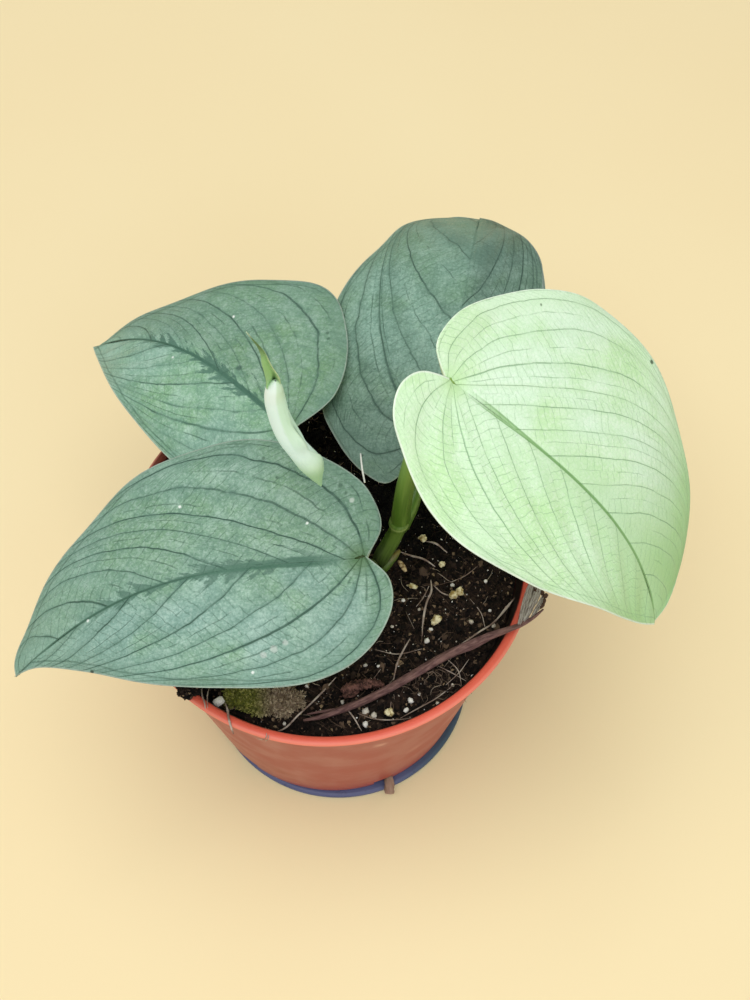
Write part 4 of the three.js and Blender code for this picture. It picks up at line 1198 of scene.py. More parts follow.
# %% Measured blades
# The ends of each blade in mm; its turn about the line between them in degrees; how high the
# midrib arches over that line and how far it bows aside; the share of the veins that fan out at
# the base, the share of the margin round the lobe and how fast the fan closes; then the margin
# on each side, as distances along and across the line.
LEAVES = {
    "leaf_front": dict(
        base=(9.5, -21.3, 134.2), tip=(-85.1, -41.2, 98), turn=-8, arch=9, late_arch=1.25,
        bow=-8.2, late_bow=1, flat_bow=1, basal=0.3, rib_end=0.6, spread=1.3,
        left=[(-6.5, 7.5), (-5.2, 15.5), (1.8, 22.8), (11.8, 26.8), (24.8, 27.2), (40.8, 23.2),
              (59.8, 16.7), (77.8, 7.6), (93.3, 1)],
        right=[(-7.6, -5.5), (-8.2, -12), (-5.7, -20), (1.3, -29), (10.8, -37), (23.8, -42.5),
               (39.8, -42.8), (55.8, -39.3), (71.8, -30), (79.8, -25.2), (87.3, -19.6), (95.6, -11.6),
               (100.8, -7), (103, -3.5)]),
    "leaf_left": dict(
        base=(-11.8, 23.7, 125.4), tip=(-78.3, 75.2, 88.9), turn=-10, arch=9, late_arch=1.25,
        bow=-7, late_bow=1, flat_bow=1, basal=0.3, rib_end=0.6, spread=1.3,
        left=[(-6.1, 7.5), (-4.3, 15.2), (4, 22.5), (16, 25.2), (28.8, 23.5), (49.3, 17.3),
              (66.8, 10.5), (82, 4.2)],
        right=[(-6.7, -9), (-7.6, -15.5), (-3.8, -24.6), (4.4, -35.1), (14.2, -43.2),
               (24.6, -45.1), (36.6, -39.3), (50.5, -30.8), (65.1, -19.5), (76.9, -11.3),
               (86.9, -2.8)]),
    "leaf_back": dict(
        base=(27.1, 17.5, 131), tip=(46.0, 111.2, 112.2), turn=-10, arch=12, late_arch=1.4,
        bow=-3.8, late_bow=1, flat_bow=1, basal=0.45, rib_end=0.64, spread=1.9,
        left=[(-12.5, 3.0), (-18.3, 7.4), (-15.2, 14.2), (-9, 20.4), (0.4, 26.9), (7.6, 31.2),
              (16.5, 33.7), (26.5, 35.1), (36.7, 35.6), (45.5, 34.4), (60, 29.5), (70.1, 25.5),
              (83.6, 21.6), (93.8, 15.6), (98, 8.2)],
        right=[(-7.2, -4.2), (-8.4, -8.6), (-5.7, -11.4), (2.6, -14.9), (12.7, -18.8),
               (24.3, -22.9), (36, -25.7), (46.3, -26.5), (55.4, -25.8), (63.4, -23.9),
               (73.8, -18.5), (84.4, -11.6), (93.5, -5)]),
    "leaf_right": dict(
        base=(31.4, 0, 183.9), tip=(87.8, -31.4, 117.1), turn=0, arch=8, late_arch=1.3,
        bow=5.3, late_bow=1.3, flat_bow=0.5, basal=0.3, rib_end=0.6, spread=1.3,
        left=[(-9, 2.7), (-10.5, 8.5), (-8.5, 17), (-1.5, 28.5), (7.5, 39.7), (20.5, 49.5),
              (36.5, 52.4), (53.5, 48.5), (68.5, 40.2), (82.5, 30.5), (91.5, 20), (94.3, 8.5)],
        right=[(-9.5, -5), (-11.9, -12), (-8.5, -19), (0.5, -23.8), (13.5, -28), (26.5, -28.7),
               (43.5, -24.4), (53.5, -20.7), (67, -14.3), (76.3, -9.9), (86.3, -4.6)]),
}
# Where the margin starts, how the blade folds and curls across, how the side veins leave the
# midrib, how steeply the net's rungs lean, how fine the grid is, then the heights of the swells
# and the thickness away from the midrib and under it
NOTCH = -2.0
CROSS_FOLD, FOLD_SOFTNESS, CROSS_CURL = 0.1, 3, 0.004
RIB_ANGLE, BASAL_SWING, RIB_SPACES, RUNG_LEAN = 40, 105, 9, 0.77
MARGIN_STEPS, MARGIN_SAMPLES = 40, 400
BLADE_ROWS, BLADE_STEPS = 126, 72
QUILT, FLUTTER, RIPPLE, GROOVE, THIN, KEEL = 0.4, 0.5, 0.056, 0.55, 0.3, 1.5
BLADE_MARKS = ("rib", "run", "ladder", "pitch", "rim", "middle", "share", "u", "v", "half", "under")
for name, leaf in LEAVES.items():
    print(name, "is", round(math.dist(leaf["base"], leaf["tip"])), "mm from petiole to tip")


# %% Blade surface
def blade_frame(leaf):
    """Base, directions along, left and up, and the length of a blade."""
    base = np.array(leaf["base"], dtype=float)
    along = np.array(leaf["tip"], dtype=float) - base
    length = np.linalg.norm(along)
    along /= length
    flat = np.cross((0, 0, 1), along)
    flat /= np.linalg.norm(flat)
    rise = np.cross(along, flat)
    angle = math.radians(leaf["turn"])
    left = flat * math.cos(angle) + rise * math.sin(angle)
    return base, along, left, np.cross(along, left), length


def midrib_offset(leaf, length, u):
    share = np.clip(u / length, 0, 1)
    bulge = np.clip(np.sin(np.pi * share ** leaf["late_bow"]), 0, 1)
    return leaf["bow"] * bulge ** leaf["flat_bow"]


def blade_point(leaf, u, v, lift):
    base, along, left, up, length = blade_frame(leaf)
    share = np.clip(u / length, 0, 1)
    across = v - midrib_offset(leaf, length, u)
    height = (leaf["arch"] * np.sin(np.pi * share ** leaf["late_arch"])
              + CROSS_FOLD * (np.hypot(across, FOLD_SOFTNESS) - FOLD_SOFTNESS) - CROSS_CURL * across**2 + lift)
    return base + u[..., None] * along + v[..., None] * left + height[..., None] * up


# %% The margin
def margin_curve(margin, length):
    """The margin from notch to tip as many points at even distances."""
    knots = np.array([(NOTCH, 0.0)] + list(margin) + [(length, 0.0)])
    last = len(knots) - 1
    out = []
    for i in range(last):
        before, after = knots[max(i - 1, 0)], knots[min(i + 2, last)]
        a, b = knots[i], knots[i + 1]
        slope_a, slope_b = (b - before) / 2, (after - a) / 2
        for x in np.linspace(0, 1, MARGIN_STEPS, endpoint=False):
            out.append((2 * a - 2 * b + slope_a + slope_b) * x**3
                       + (-3 * a + 3 * b - 2 * slope_a - slope_b) * x**2 + slope_a * x + a)
    out.append(knots[last])
    out = np.array(out)
    run = np.concatenate([[0], np.cumsum(np.linalg.norm(np.diff(out, axis=0), axis=1))])
    even = np.linspace(0, run[-1], MARGIN_SAMPLES)
    return np.stack([np.interp(even, run, out[:, i]) for i in (0, 1)], -1)


def on_margin(curve, share):
    place = np.clip(share, 0, 1) * (len(curve) - 1)
    return np.stack([np.interp(place, np.arange(len(curve)), curve[:, i]) for i in (0, 1)], -1)


# %% The grid of side veins
def vein_grid(leaf, length, margin, side):
    """u and v of a half blade: row k runs from midrib (step 0) to margin (last step)."""
    edge = margin_curve(margin, length)
    k = np.linspace(0, 1, BLADE_ROWS + 1)
    t = np.linspace(0, 1, BLADE_STEPS + 1)
    back = np.clip(1 - k / leaf["basal"], 0, None)
    ahead = np.clip((k - leaf["basal"]) / (1 - leaf["basal"]), 0, None)
    start_u = np.where(back > 0, NOTCH * back, length * ahead**1.1)
    start = np.stack([start_u, midrib_offset(leaf, length, start_u)], -1)
    end_share = leaf["rib_end"] + (1 - leaf["rib_end"]) * k**0.9
    end = on_margin(edge, end_share)
    tangent = on_margin(edge, end_share + 0.004) - on_margin(edge, end_share - 0.004)
    tangent /= np.maximum(np.linalg.norm(tangent, axis=1), 1e-9)[:, None]
    inward = np.stack([side * tangent[:, 1], -side * tangent[:, 0]], -1)
    angle = np.radians(RIB_ANGLE + BASAL_SWING * back**leaf["spread"])
    leave = np.stack([np.cos(angle), side * np.sin(angle)], -1)
    reach_mm = np.linalg.norm(end - start, axis=1)[:, None]
    back = back[:, None]
    bend_1 = start + leave * reach_mm * (0.33 + 0.12 * back)
    bend_2 = end - tangent * reach_mm * (0.36 + 0.1 * back) + inward * reach_mm * 0.1
    weights = np.stack([(1 - t)**3, 3 * (1 - t)**2 * t, 3 * (1 - t) * t**2, t**3])
    grid = sum(weights[i][None, :, None] * corner[:, None, :]
               for i, corner in enumerate((start, bend_1, bend_2, end)))
    shift = on_margin(edge, leaf["rib_end"] * t) - grid[0]
    grid = grid + shift[None] * (back**2)[:, :, None]
    return grid, edge, k, t


def rim_distance(grid, edge):
    flat = grid.reshape(-1, 2)
    nearest = np.full(len(flat), 1e9)
    for chunk in np.array_split(np.arange(len(edge)), 16):
        away = np.linalg.norm(flat[:, None] - edge[None, chunk], axis=2).min(axis=1)
        nearest = np.minimum(nearest, away)
    return nearest.reshape(grid.shape[:2])


# %% [markdown]
# The blade mesh has an upper and an under face. Between two side veins the blade swells like a
# quilt, the veins lie in fine grooves, and the margin is thin. On the under face the midrib
# stands out as a rounded keel that tapers to the tip.


# %% Build a whole blade
def build_blade(name, finish, seed):
    leaf = LEAVES[name]
    _, _, _, up, length = blade_frame(leaf)
    parts = []
    for margin, side in ((leaf["left"], 1), (leaf["right"], -1)):
        grid, edge, k, t = vein_grid(leaf, length, margin, side)
        u, v = grid[..., 0], grid[..., 1]
        kk, tt = np.meshgrid(k, t, indexing="ij")
        rib = kk * RIB_SPACES
        rim = rim_distance(grid, edge)
        share = np.clip(u / length, 0, 1)
        middle = np.abs(v - midrib_offset(leaf, length, u))
        between = np.sin(np.pi * rib)**2
        swell = QUILT * between * np.sin(np.pi * tt**0.8)
        flutter = FLUTTER * np.sin(0.19 * u + 1.7 * side + seed) * np.exp(-rim / 7)
        ripples = RIPPLE * np.sin(2.1 * np.arange(len(t)))[None, :] * between * np.sin(np.pi * tt)
        groove = GROOVE * np.exp(-(middle / 0.9)**2) * (1 - share)
        top = blade_point(leaf, u, v, swell + flutter + ripples - groove)
        thick = THIN + 0.25 * np.clip(rim / 4, 0, 1) + KEEL * (1 - share)**0.6 * np.exp(-(middle / 1.1)**2)
        thick *= np.clip(rim / 0.6, 0.45, 1)
        bottom = top - thick[..., None] * up
        run = np.concatenate([np.zeros((BLADE_ROWS + 1, 1)),
                              np.cumsum(np.linalg.norm(np.diff(top, axis=1), axis=2), axis=1)], 1)
        ladder = run + RUNG_LEAN * np.clip(u[:, :1], 0, None)
        pitch = np.linalg.norm(np.gradient(grid, 1 / BLADE_ROWS, axis=0), axis=2) / RIB_SPACES
        index = np.arange(u.size).reshape(u.shape)
        low = index + index.size
        faces = []
        for r in range(BLADE_ROWS):
            for c in range(BLADE_STEPS):
                a, b, d, e = index[r, c], index[r + 1, c], index[r + 1, c + 1], index[r, c + 1]
                faces.append((a, b, d, e) if side > 0 else (a, e, d, b))
                a, b, d, e = low[r, c], low[r + 1, c], low[r + 1, c + 1], low[r, c + 1]
                faces.append((a, e, d, b) if side > 0 else (a, b, d, e))
        for border, under in ((index[0], low[0]), (index[:, -1], low[:, -1])):
            for i in range(len(border) - 1):
                faces.append((border[i], border[i + 1], under[i + 1], under[i]))
        shares = (rib, run, ladder, pitch, rim, middle, share, u, v, np.full(u.shape, (side + 1) / 2))
        marks = {mark: np.tile(value.ravel(), 2) for mark, value in zip(BLADE_MARKS, shares)}
        marks["under"] = np.repeat((0.0, 1.0), u.size)
        parts.append((np.concatenate([top.reshape(-1, 3), bottom.reshape(-1, 3)]), faces, marks))
    points, faces, marks = gather(parts)
    return make_piece(name + "_blade", points, faces, finish, marks, weld=0.002)


# %% [markdown]
# ## The finish of a leaf
# Each leaf is satin: blue-green tissue under a silvery grain, with dark side veins, fainter
# ones between them and a fine net. The midrib is a dark band that thins to a line, feathered
# into the tissue, and the margin is pale. The same graph serves all leaves; only its colours
# and strengths differ.


# %% Veins and net
def draw_veins(skin, look, at):
    """Where each kind of vein runs, as shares from 0 to 1 that are kept in at."""
    waver = skin.plus(skin.maths("SUBTRACT", skin.grain(15, 1), 0.5),
                      skin.times(skin.maths("SUBTRACT", skin.grain(4, 1), 0.5), 0.35))
    waver = skin.times(skin.times(waver, look.waver), skin.band(at.run, 1.0, 9.0))
    counted = skin.plus(skin.times(at.rib, look.veins / RIB_SPACES), waver)
    at.counted = counted = skin.plus(counted, skin.times(at.half, look.stagger))
    spacing = skin.times(at.pitch, RIB_SPACES / look.veins)

    # Side veins: every second one is strong; fainter ones run half way between them
    odd = skin.maths("PINGPONG", skin.maths("ROUND", counted), 1.0)
    strength = skin.band(odd, 0.4, 0.6, look.weak, 1.0)
    at.from_vein = skin.times(skin.maths("PINGPONG", counted, 0.5), spacing)
    thin = skin.band(at.rim, 0.0, 14.0, 0.6, 1.0)
    vein = skin.line(at.from_vein, skin.times(skin.times(thin, strength), look.vein_width))
    at.vein = skin.times(skin.times(vein, strength), skin.band(skin.grain(7, 2), 0.32, 0.55, 0.5, 1.0))
    at.beside_vein = skin.times(skin.band(at.from_vein, 0.1, 1.0, 1.0, 0.0), skin.times(strength, look.halo))
    between = skin.times(skin.maths("PINGPONG", skin.plus(counted, 0.5), 0.5), spacing)
    faint_fade = skin.times(skin.band(skin.grain(8.5, 2), 0.4, 0.62), skin.band(at.run, 2.0, 7.0))
    at.faint_vein = skin.times(skin.line(between, look.vein_width * 0.7), faint_fade)
    edge_path = skin.plus(1.3, skin.times(skin.grain(9, 1), 1.2))
    edge_away = skin.maths("ABSOLUTE", skin.maths("SUBTRACT", at.rim, edge_path))
    at.edge_vein = skin.times(skin.line(edge_away, look.vein_width * 0.8),
                              skin.band(at.share, 0.12, 0.3, 0.0, 0.8))

    # The net: rungs across each space between two veins, and small cells inside them
    space = skin.maths("FLOOR", skin.times(counted, 2.0))
    chance = skin.add("ShaderNodeTexWhiteNoise", noise_dimensions="2D")
    skin.feed(chance.inputs["Vector"], skin.place(space, at.half))
    bent_run = skin.plus(at.ladder, skin.times(skin.grain(5, 2), 2.4))
    rung = skin.plus(skin.times(bent_run, 1 / look.net_cell), chance.outputs["Value"])
    rung_away = skin.times(skin.maths("PINGPONG", rung, 0.5), look.net_cell)
    at.net = skin.times(skin.line(rung_away, look.net_line),
                        skin.band(skin.grain(6, 2), 0.36, 0.58, 0.15, 1.0))
    bent_u = skin.plus(at.u, skin.times(skin.grain(5, 1), 2.0))
    at.fine_net = skin.line(skin.cells(skin.place(bent_u, at.v), look.net_cell * 0.55, 0.8), 0.12)


# %% Tissue
def colour_tissue(skin, look, at):
    """Broad drifts of colour, mottles, and light and dark specks."""
    skin.colour = skin.over(skin.band(skin.grain(24, 2), 0.36, 0.64), look.cool, look.warm)
    skin.coat(skin.band(skin.grain(12, 3), 0.5, 0.72, 0.0, look.patch), look.green)
    aside = skin.times(at.middle, skin.maths("MULTIPLY_ADD", at.half, 2.0, -1.0))
    at.right_side = skin.band(aside, -7.0, 3.0, 1.0, 0.0)
    # Painted shade: the right half of the blade is coated greener
    skin.coat(skin.times(at.right_side, look.leafy), look.green)
    at.mottle, at.speck = skin.grain(2.4, 3, 0.6), skin.grain(0.75, 2, 0.65)
    for lumps, low, high, amount in ((skin.grain(7, 3, 0.55), 0.32, 0.68, look.blotch),
                                     (at.mottle, 0.34, 0.66, look.mottle)):
        skin.coat(skin.band(lumps, 0.5, high, 0.0, amount), look.silver)
        skin.coat(skin.band(lumps, low, 0.5, amount, 0.0), look.shade)
    skin.coat(skin.band(at.speck, 0.5, 0.66, 0.0, look.silver_share), look.silver)
    skin.coat(skin.band(at.speck, 0.33, 0.47, look.dull_share, 0.0), look.shade)
    ripple_place = skin.place(skin.times(at.counted, 1.6), skin.times(at.run, 0.7), at.half)
    at.ripple = skin.grain(1.0, 2, 0.6, ripple_place)
    # Fine crosswise wrinkles, painted as darker lines of shade
    skin.coat(skin.band(at.ripple, 0.55, 0.7, 0.0, look.ripple), look.shade)
    skin.coat(skin.band(skin.grain(1.5, 1), 0.76, 0.8, 0.0, look.flecks), look.vein)
    skin.coat(skin.band(at.rim, 0, 9, look.edge_share, 0.0), look.edge_tone)
    skin.coat(skin.band(at.share, 0.5, 1.0, 0.0, look.tip_share), look.tip_tone)
    # Painted shade in the valley beside the midrib
    valley = skin.times(skin.band(at.middle, 0.0, 13.0, 1.0, 0.0), skin.band(at.share, 0.15, 0.6))
    skin.coat(skin.times(valley, look.valley), look.shade)


# %% Dark feathers and veins
def colour_veins(skin, look, at):
    """The dark feathers beside the midrib, then every vein over the tissue."""
    feather_size = skin.grain(1.0, 5, 0.7, skin.place(skin.times(at.counted, 3.6), skin.times(at.run, 0.12),
                                                      skin.times(at.half, 7.0)))
    reach_out = skin.plus(skin.times(feather_size, look.feather_reach * 2.4), -look.feather_reach * 0.92)
    feather = skin.band(skin.maths("SUBTRACT", reach_out, at.middle), 0.0, 1.6, 0.0, look.feather)
    along = skin.times(skin.band(at.share, 0.02, 0.2), skin.band(at.share, 0.6, 0.85, 1.0, 0.0))
    skin.coat(skin.times(feather, along), look.feather_tone)
    near_vein = skin.band(at.from_vein, 0.2, 1.1, 1.0, 0.0)
    beside = skin.times(skin.times(near_vein, skin.band(skin.grain(4, 3), 0.52, 0.64)),
                        skin.band(at.rim, 2, 9, 0.25, 1.0))
    skin.coat(skin.times(beside, look.beside), look.feather_tone)
    skin.coat(at.beside_vein, look.shade)
    # Painted shade between the veins, darker near each vein, for the quilted relief
    off_vein = skin.maths("FRACT", at.counted)
    puffed = skin.plus(skin.band(off_vein, 0.0, 0.45, 1.0, 0.0), skin.band(off_vein, 0.8, 1.0, 0.0, 0.6))
    skin.coat(skin.times(puffed, look.puffed), look.shade)
    for share, amount in ((at.fine_net, look.fine_net), (at.net, look.net), (at.edge_vein, look.faint),
                          (at.faint_vein, look.faint), (at.vein, look.main)):
        skin.coat(skin.times(share, amount), look.vein)


# %% Midrib, margin and spots
def colour_midrib(skin, look, at):
    """The midrib band with its edge lines, the pale margin, the broad light and small marks."""
    band_width = skin.band(at.share, look.band_from, look.band_to, look.band_wide, look.band_thin)
    in_band = skin.band(at.middle, skin.times(band_width, 0.7), skin.times(band_width, 1.25), 1.0, 0.0)
    band_share = skin.times(in_band, skin.band(at.share, 0.6, 1.0, look.band, look.band_end))
    started = skin.band(at.share, look.band_start, look.band_start + 0.14)
    skin.coat(skin.times(band_share, started), look.band_tone)
    flank = skin.maths("ABSOLUTE", skin.maths("SUBTRACT", at.middle, band_width))
    skin.coat(skin.times(skin.line(flank, 0.28), skin.times(started, look.flank)), look.flank_tone)
    centre = skin.times(skin.line(at.middle, 0.36), skin.band(at.share, look.band_to * 0.6, look.band_to))
    fading = skin.band(at.share, 0.6, 1.0, look.centre, look.centre * look.band_end)
    skin.coat(skin.times(centre, fading), look.flank_tone)
    # Painted shade round the notch where the petiole joins
    from_base = skin.maths("SQRT", skin.plus(skin.times(at.u, at.u), skin.times(at.v, at.v)))
    skin.coat(skin.band(from_base, 1.0, 6.5, look.heart, 0.0), look.heart_tone)
    pale_width = skin.band(at.half, 0.0, 1.0, look.pale_right, look.pale_left)
    skin.coat(skin.band(at.rim, skin.times(pale_width, 0.3), pale_width, look.pale, 0.0), look.pale_tone)
    light = skin.times(skin.band(at.right_side, 0.0, 1.0, look.left_light, look.right_light),
                       skin.band(at.share, 0.0, 0.4, look.base_light, 1.0))
    skin.colour = skin.shade(skin.colour, light)
    for spot_u, spot_v, radius, tone, amount in look.spots:
        off_u, off_v = skin.maths("SUBTRACT", at.u, spot_u), skin.maths("SUBTRACT", at.v, spot_v)
        off_spot = skin.maths("SQRT", skin.plus(skin.times(off_u, off_u), skin.times(off_v, off_v)))
        ragged = skin.plus(off_spot, skin.times(skin.grain(1.6, 2), 0.6))
        skin.coat(skin.band(ragged, radius * 0.6 + 0.2, radius + 0.5, amount, 0.0), tone)


# %% Leaf finish
def leaf_finish(name, look):
    """The upper face from all the steps above, and a paler under face with raised veins."""
    look = SimpleNamespace(**look)
    skin = Finish(name, roughness=look.roughness, specular=0.4)
    at = SimpleNamespace(**{mark: skin.mark(mark) for mark in BLADE_MARKS})
    draw_veins(skin, look, at)
    colour_tissue(skin, look, at)
    colour_veins(skin, look, at)
    colour_midrib(skin, look, at)
    below = skin.over(skin.times(at.vein, 0.5), look.under_tone, look.under_vein)
    below = skin.over(skin.band(at.middle, 0.6, 1.8, 0.6, 0.0), below, look.under_vein)
    skin.coat(at.under, below)
    dents = skin.plus(skin.times(at.vein, -1.0), skin.times(at.faint_vein, -0.5))
    dents = skin.plus(dents, skin.times(at.net, -0.25))
    dents = skin.plus(dents, skin.times(at.ripple, 1.1))
    skin.relief(skin.plus(dents, skin.times(at.speck, 0.5)), look.relief, 0.8)
    return skin.done(skin.band(at.mottle, 0.3, 0.7, look.roughness - 0.07, look.roughness + 0.07))


# %% Looks of the four leaves
# Tones are colour codes; widths, cells and reaches are in mm; lights multiply the colour at a
# side or at the base; nearly all else is a share from 0 to 1
DARK_LEAF = dict(
    roughness=0.5, veins=9, stagger=0.4, waver=0.34, weak=0.72, vein_width=0.42, halo=0.4,
    left_light=1.02, right_light=0.95, base_light=0.89, leafy=0.35, blotch=0.3, puffed=0.26, valley=0.12,
    net_cell=2.7, net_line=0.17, cool="8aafa3", warm="86ac94", green="77a273", patch=0.45, mottle=0.26,
    silver="b6d3c6", silver_share=0.4, dull_share=0.4, shade="5c8374", ripple=0.3, flecks=0.5,
    edge_tone="6f9480", edge_share=0.45, tip_tone="98bcab", tip_share=0.5,
    feather_reach=9.0, feather=0.5, feather_tone="557b6b", beside=0.45, vein="335848", main=0.9,
    faint=0.55, net=0.4, fine_net=0.14, band_start=0.0,
    band_from=0.1, band_to=0.6, band_wide=1.5, band_thin=0.4, band=0.9, band_end=0.6,
    band_tone="4a7360", flank=0.0, flank_tone="2f5342", centre=0.6, heart=0.75, heart_tone="55794a",
    pale_left=0.5, pale_right=0.5, pale=0.6, pale_tone="b9c9bd", spots=(),
    under_tone="a3bb9d", under_vein="c2d3b0", relief=0.3)
# A spot is its place along and across the blade, its radius, its colour and its share
LOOKS = {
    "leaf_front": dict(DARK_LEAF, feather=0.8, band_to=0.5, feather_tone="4a7060", spots=(
        (76, 8.2, 0.7, "2c4438", 0.9), (74.6, -5.7, 0.35, "e9f2ec", 0.9), (10.7, -13.2, 0.4, "eef5f0", 0.95),
        (32.9, 21.5, 0.35, "eef5f0", 0.9), (42.2, -27.4, 0.4, "eef5f0", 0.9), (29.3, 17.8, 0.9, "c9cfc9", 0.5),
        (26.4, 17.0, 1.0, "cdd2cc", 0.5), (23.2, 16.2, 0.8, "c9cfc9", 0.45), (0, -20.9, 0.8, "3a5a48", 0.6),
        (-1, -18.3, 0.6, "3a5a48", 0.6), (-2.1, -15.8, 0.7, "e6eee8", 0.5), (18.2, -34.8, 0.5, "3a5a48", 0.7),
        (15.6, -27.9, 0.5, "3a5a48", 0.7))),
    "leaf_left": dict(DARK_LEAF, cool="82a896", warm="7da687", patch=0.5, stagger=0.5, main=0.7, halo=0.3,
                      weak=0.5, silver_share=0.28, dull_share=0.25, net=0.24, blotch=0.3, puffed=0.12,
                      left_light=1.22, right_light=0.93, base_light=1.0, leafy=0.3, feather_reach=9.0,
                      feather=0.85, feather_tone="42695a", band_wide=0.8, band_tone="3f6655", spots=(
        (37.1, -23.1, 0.45, "eef5f0", 0.9), (46.6, -3.5, 0.4, "eef5f0", 0.9), (8.1, -31.2, 0.5, "3a5a48", 0.7),
        (6.6, -29.8, 0.5, "3a5a48", 0.7), (24.5, -9.4, 1.0, "33564a", 0.7))),
    "leaf_back": dict(DARK_LEAF, cool="7fa494", warm="799f87", green="729a74", silver="a8c8b8", veins=7,
                      silver_share=0.36, shade="527464", vein="3a5d4e", main=0.8, net=0.42, fine_net=0.16,
                      waver=0.26, valley=0.2, edge_tone="7a9a8a", stagger=0.3, feather_reach=7.0,
                      feather=0.0, band_wide=0.7, band=0.1, centre=0.1, left_light=1.05,
                      right_light=0.73, base_light=0.6, leafy=0.0,
                      tip_tone="6c8f76", tip_share=0.7,
                      # The four broad patches near the tip paint the light and shade of the fold
                      spots=((-9.1, 16.0, 0.6, "2c4438", 0.8), (78.0, -9.0, 7.0, "7fa08f", 0.35),
                             (64.0, -8.0, 6.0, "4c6f60", 0.35), (72.0, 2.0, 4.5, "4f7362", 0.4),
                             (84.0, 11.0, 4.0, "4f7362", 0.3))),
    "leaf_right": dict(DARK_LEAF, veins=12, stagger=0.35, waver=0.22, weak=0.85, halo=0.12,
                       blotch=0.16, puffed=0.16, base_light=1.05, left_light=0.98, right_light=1.01,
                       band_start=0.03, valley=0.6, leafy=0.3, roughness=0.58,
                       cool="dcf8dc", warm="cff2c2", green="b9e6a4", patch=0.4, mottle=0.14,
                       silver="effded", silver_share=0.35, dull_share=0.16, shade="b9dfae", ripple=0.06,
                       flecks=0.15, edge_tone="d2f2c6", edge_share=0.35, tip_tone="93c67d", tip_share=0.85,
                       feather_reach=5.0, feather=0.0, beside=0.0, vein="86b186", vein_width=0.22, main=0.75,
                       faint=0.5, net=0.4, fine_net=0.1, net_cell=2.2, net_line=0.15, band_from=0.1,
                       band_to=0.32, band_wide=0.8, band_thin=0.26, band=0.75, band_end=0.3,
                       band_tone="84b56e", flank=0.7, flank_tone="74a363", centre=0.65, heart=0.6,
                       heart_tone="bfe9a8", pale=0.7, pale_left=0.3, pale_right=0.6,
                       pale_tone="f2fbf0", under_tone="cfe8bd", under_vein="e2f2d2", relief=0.16,
                       spots=((44.7, 49.9, 0.7, "3c5236", 0.9), (8.5, 34.9, 0.35, "4c6244", 0.8))),
}
for i, name in enumerate(LEAVES):
    blade = build_blade(name, leaf_finish(name + "_skin", LOOKS[name]), seed=1.3 * i)
    settle(blade, name, name)

# %% [markdown]
# A white fibre has dropped on the lobe of the back leaf. It follows the blade's own surface,
# a little above it, so its places are given in the blade's directions and not in space.

# %% A white fibre on the back leaf
fibre_skin = two_tone("white_fibre", 0.8, 0.5, ("d8dcd4", "fbfcf8"), lumps=(1.5, 2))
fibre_u, fibre_v = np.array([-8.5, -13.5, -18.8]), np.array([16.5, 15.0, 13.1])
fibre_bed = blade_point(LEAVES["leaf_back"], fibre_u, fibre_v, 0.55)
white_fibre = tube([(*spot, radius) for spot, radius in zip(fibre_bed, (0.2, 0.26, 0.22))], 8, 6)
assemble("white_fibre", [white_fibre], fibre_skin, "leaf_back")

# %% [markdown]
# With the blades in place, the petioles can run right up to them. Each ends along the blade's
# own upward direction, so that it meets the midrib without a kink.


# %% The end of a petiole
NECK_LENGTH = 6


def up_to_blade(points, name, radius):
    """The path of a petiole, with its last stretch square to the blade."""
    base, _, _, up, _ = blade_frame(LEAVES[name])
    neck = base - up * NECK_LENGTH
    end = base - up * 0.55
    return list(points) + [(*neck, radius), (*end, radius * 1.05)]


# %% Main stem and its petioles
MAIN_STEM = [(16.2, -12.6, 86, 2.9), (15.6, -11.5, 92, 2.9), (14.8, -9.1, 101, 2.7), (15.6, -7.4, 107, 2.5),
             (18.0, -5.6, 113, 2.4), (19.8, -4.6, 120.2, 2.45), (19.95, -4.45, 121.7, 2.75),
             (20.05, -4.35, 122.4, 2.75), (20.15, -4.25, 123.2, 2.4)]
RIGHT_PETIOLE = [(20, -4.4, 119.4, 2.45), (20.6, -3.8, 134, 2.3), (22.1, -2.9, 151, 2.05),
                 (24.8, -1, 166, 1.85), (25.5, 1.4, 175, 1.65)]
BACK_PETIOLE = [(20.8, -4, 118.8, 1.7), (23.2, 0.4, 121.6, 1.75), (25.6, 8, 123.4, 1.55)]
FRONT_PETIOLE = [(14.6, -9.6, 99, 1.7), (14.2, -13, 108, 1.6), (13.4, -16.5, 117, 1.5),
                 (12.4, -18.8, 126, 1.35)]
SIDE_BUD = [(14.9, -8.8, 102, 1.7), (16.1, -9.1, 104.4, 1.8), (17.5, -8.2, 106, 1.6),
            (19.1, -7.0, 107, 1.2), (20.6, -5.8, 107.9, 0.4)]
main_parts = [
    stem_part(MAIN_STEM, ring_z=122.0),
    stem_part(up_to_blade(RIGHT_PETIOLE, "leaf_right", 1.5), shape=winged, first=(0.8, -0.6, 0)),
    stem_part(up_to_blade(BACK_PETIOLE, "leaf_back", 1.4), shape=winged, first=(0.6, -0.8, 0)),
    stem_part(up_to_blade(FRONT_PETIOLE, "leaf_front", 1.35), under_leaf_shade=0.8),
    stem_part(SIDE_BUD, dry_from=106.9),
]
assemble("main_stem_skin", main_parts, stem_finish, "stem", "main_stem")

# %% Second stem and its petioles
LEFT_STEM = [(2.6, 11, 86, 2.4), (1.6, 11.4, 92, 2.4), (0.4, 12, 102, 2.2)]
LEFT_PETIOLE = [(0.4, 12, 99.5, 1.7), (-3.4, 16.8, 107, 1.5), (-7.6, 21.6, 113.6, 1.4)]
NEW_PETIOLE = [(0.6, 11.6, 99.5, 1.7), (-2.6, 12.2, 114, 1.4), (-7.2, 14.4, 127, 1.3), (-9.4, 16.2, 137, 1.2),
               (-9.6, 13.6, 145, 1.2), (-7.4, 7.4, 149.6, 1.2), (-3.2, -2.2, 152.2, 1.1)]
left_parts = [stem_part(LEFT_STEM),
              stem_part(up_to_blade(LEFT_PETIOLE, "leaf_left", 1.3)),
              stem_part(NEW_PETIOLE, sides=18)]
assemble("left_stem_skin", left_parts, stem_finish, "stem", "left_stem")

